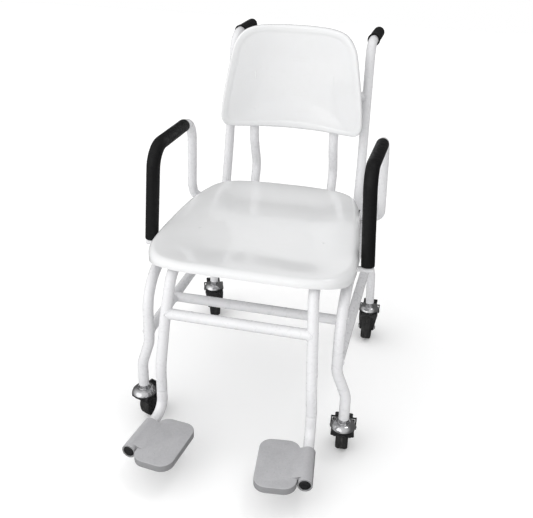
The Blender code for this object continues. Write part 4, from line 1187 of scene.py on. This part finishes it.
def display():
    """The read-out behind the push crossbar: a moulded case, a recessed window and three keys."""
    carrier = Matrix.Translation(DISPLAY) @ Matrix.Rotation(DISPLAY_TILT, 4, "X")
    flip = [(x, -z) for x, z in round_rectangle((-0.095, -0.055), (0.095, 0.055), 0.012, radians(9))]
    front = DISPLAY_HALF_DEPTH
    case = loose(block(flip, -front, front, Matrix.Rotation(-pi / 2, 4, "X"), 0.0032, 4, 50))
    tools = [round_box((-0.08, front - 0.004, -0.01), (0.08, front + 0.01, 0.042), 0.0015, 2)]
    for x, _ in DISPLAY_KEYS:
        well = [(0, 0.02), (0.0109, 0.02), (0.0098, -0.0009), (0.0098, -0.006), (0, -0.006)]
        tools.append(turned(well, standing((x, front, -0.032), (0, 1, 0))))
    carve(case, tools)
    case.data.transform(carrier)
    piece("display_case", case, CASE, angle=30)
    window = round_box((-0.0796, front - 0.0038, -0.0096), (0.0796, front - 0.0009, 0.0416), 0.0007, 2,
        carrier)
    piece("display_window", window, GLASS, angle=30)
    bezel = round_box((-0.08, front - 0.0012, -0.01), (0.08, front - 0.0002, 0.042), 0.0004, 1, carrier)
    opening = round_box((-0.071, front - 0.006, -0.0035), (0.071, front + 0.006, 0.0355), 0.0018, 2,
        carrier)
    carve(bezel, [opening])
    piece("display_bezel", bezel, NYLON, angle=30)
    for x, word in DISPLAY_KEYS:
        key = [(0.0, 0.0014), (0.0055, 0.0015, 0.002), (0.0076, 0.002, 0.0008), (0.009, 0.0012, 0.0008),
            (0.0092, -0.0034, 0), (0.0, -0.0034)]
        piece(f"display_key_{word}", turned(key,
            carrier @ standing((x, front, -0.032), (0, 1, 0)), 48), KEYS, f"key_{word}", angle=30)
    for x in (-0.083, 0.083):
        for z in (-0.043, 0.043):
            spot = carrier @ Vector((x, -front, z))
            axis = carrier.to_3x3() @ Vector((0, -1, 0))
            where = f"{'low' if z < 0 else 'high'}_{'right' if x < 0 else 'left'}"
            button_screw(f"case_screw_{where}", spot, axis, CASE_SCREW_R)

    low = (-0.03, CROSSBAR_Y - 0.002, CROSSBAR_Z - 0.02)
    bracket = round_box(low, (0.03, DISPLAY.y + 0.01, CROSSBAR_Z + 0.02), 0.002, 3)
    saddle = rod([(-0.05, CROSSBAR_Y, CROSSBAR_Z), (0.05, CROSSBAR_Y, CROSSBAR_Z)], TUBE_R + 0.0003,
        hidden_end(TUBE_R + 0.0003), sides=48)
    room = round_box((-0.2, -front - 0.0003, -0.16), (0.2, 0.2, 0.16), 0.001, 1, carrier)
    carve(bracket, [saddle, room])
    piece("display_bracket", bracket, NYLON)
    strap = sleeve(TUBE_R + 0.0003, TUBE_R + 0.003, 0.03)
    ring = loose(turned(strap, standing((0, CROSSBAR_Y, CROSSBAR_Z), (1, 0, 0)), 64, True))
    away = round_box((-0.05, CROSSBAR_Y - 0.0018, CROSSBAR_Z - 0.05),
        (0.05, CROSSBAR_Y + 0.05, CROSSBAR_Z + 0.05), 0.0005, 1)
    carve(ring, [away])
    piece("display_strap", ring, NYLON)


display()

# ---------------------------------------------------------------- floor, light and camera

# Brightness of the room, lowest and highest, then as mirrors see it, with where it changes
ROOM = (0.44, 1.32)
MIRROR = (0.16, 1.05, -0.1, 0.95)


def stage_floor():
    bm = bmesh.new()
    reach = 9.0
    corners = [(-reach, -reach, 0), (reach, -reach, 0), (reach, reach, 0), (-reach, reach, 0)]
    bm.faces.new([bm.verts.new(c) for c in corners])
    floor = loose(bm, "floor")
    look = bpy.data.materials.new("pale_floor")
    look.use_nodes = True
    shader = look.node_tree.nodes["Principled BSDF"]
    shader.inputs["Base Color"].default_value = (0.95, 0.95, 0.95, 1)
    shader.inputs["Roughness"].default_value = 0.9
    shader.inputs["Specular IOR Level"].default_value = 0.1
    shader.inputs["Emission Color"].default_value = (1, 1, 1, 1)
    rays = look.node_tree.nodes.new("ShaderNodeLightPath")
    lift = look.node_tree.nodes.new("ShaderNodeMath")
    lift.operation = "MULTIPLY"
    lift.inputs[1].default_value = FLOOR_LIFT
    look.node_tree.links.new(rays.outputs["Is Camera Ray"], lift.inputs[0])
    look.node_tree.links.new(lift.outputs[0], shader.inputs["Emission Strength"])
    floor.data.materials.append(look)
    floor.visible_glossy = False


def sun(name, place, strength, angle):
    """A broad, distant light that shines from a direction towards the middle."""
    data = bpy.data.lights.new(name, "SUN")
    data.energy = strength
    data.angle = radians(angle)
    light = bpy.data.objects.new(name, data)
    light.matrix_world = standing((0, 0, 2), place)
    scene.collection.objects.link(light)


def surroundings():
    """A white room, brighter at the front left. What mirrors see of it is darker at the back."""
    world = bpy.data.worlds.new("studio")
    world.use_nodes = True
    scene.world = world
    tree = world.node_tree
    nodes, links = tree.nodes, tree.links

    def backdrop():
        made = nodes.new("ShaderNodeBackground")
        made.inputs["Color"].default_value = (1, 1, 1, 1)
        return made

    def mixed(factor, a, b):
        made = nodes.new("ShaderNodeMixShader")
        links.new(factor, made.inputs["Fac"])
        links.new(a, made.inputs[1])
        links.new(b, made.inputs[2])
        return made.outputs[0]

    direction = nodes.new("ShaderNodeTexCoord").outputs["Generated"]

    def towards(aim, low, high, from_low=-1.0, from_high=1.0):
        dot = nodes.new("ShaderNodeVectorMath")
        dot.operation = "DOT_PRODUCT"
        dot.inputs[1].default_value = Vector(aim).normalized()
        links.new(direction, dot.inputs[0])
        made = nodes.new("ShaderNodeMapRange")
        made.interpolation_type = "SMOOTHSTEP"
        for key, number in zip(("From Min", "From Max", "To Min", "To Max"),
            (from_low, from_high, low, high)):
            made.inputs[key].default_value = number
        links.new(dot.outputs["Value"], made.inputs["Value"])
        return made.outputs["Result"]

    soft = backdrop()
    links.new(towards((-0.7, -0.75, 0.2), *ROOM), soft.inputs["Strength"])
    mirror = backdrop()
    links.new(towards((-0.35, -0.75, 0.55), *MIRROR), mirror.inputs["Strength"])
    seen = backdrop()
    rays = nodes.new("ShaderNodeLightPath")
    inner = mixed(rays.outputs["Is Glossy Ray"], soft.outputs[0], mirror.outputs[0])
    whole = mixed(rays.outputs["Is Camera Ray"], inner, seen.outputs[0])
    links.new(whole, nodes["World Output"].inputs["Surface"])


def photo_camera():
    az, el, roll = radians(11.66), radians(23.84), radians(2.32)
    back = Vector((sin(az) * cos(el), -cos(az) * cos(el), sin(el)))
    right0 = Vector((cos(az), sin(az), 0))
    up0 = back.cross(right0)
    right = cos(roll) * right0 + sin(roll) * up0
    up = -sin(roll) * right0 + cos(roll) * up0
    data = bpy.data.cameras.new("photo_view")
    data.sensor_width = 36.0
    data.lens = 45.08
    data.shift_x = -0.0311
    data.shift_y = -0.0439
    camera = bpy.data.objects.new("photo_view", data)
    turn = Matrix((right, up, back)).transposed().to_4x4()
    camera.matrix_world = TO_ORIGIN @ Matrix.Translation((0.3475, -1.5477, 1.1202)) @ turn
    scene.collection.objects.link(camera)
    scene.camera = camera


stage_floor()
surroundings()
sun("key_light", (-0.8, -1.2, 0.6), 0.6, 60)
sun("top_light", (0.3, 0.12, 1.0), 0.25, 16)
photo_camera()
scene.view_settings.view_transform = "Standard"
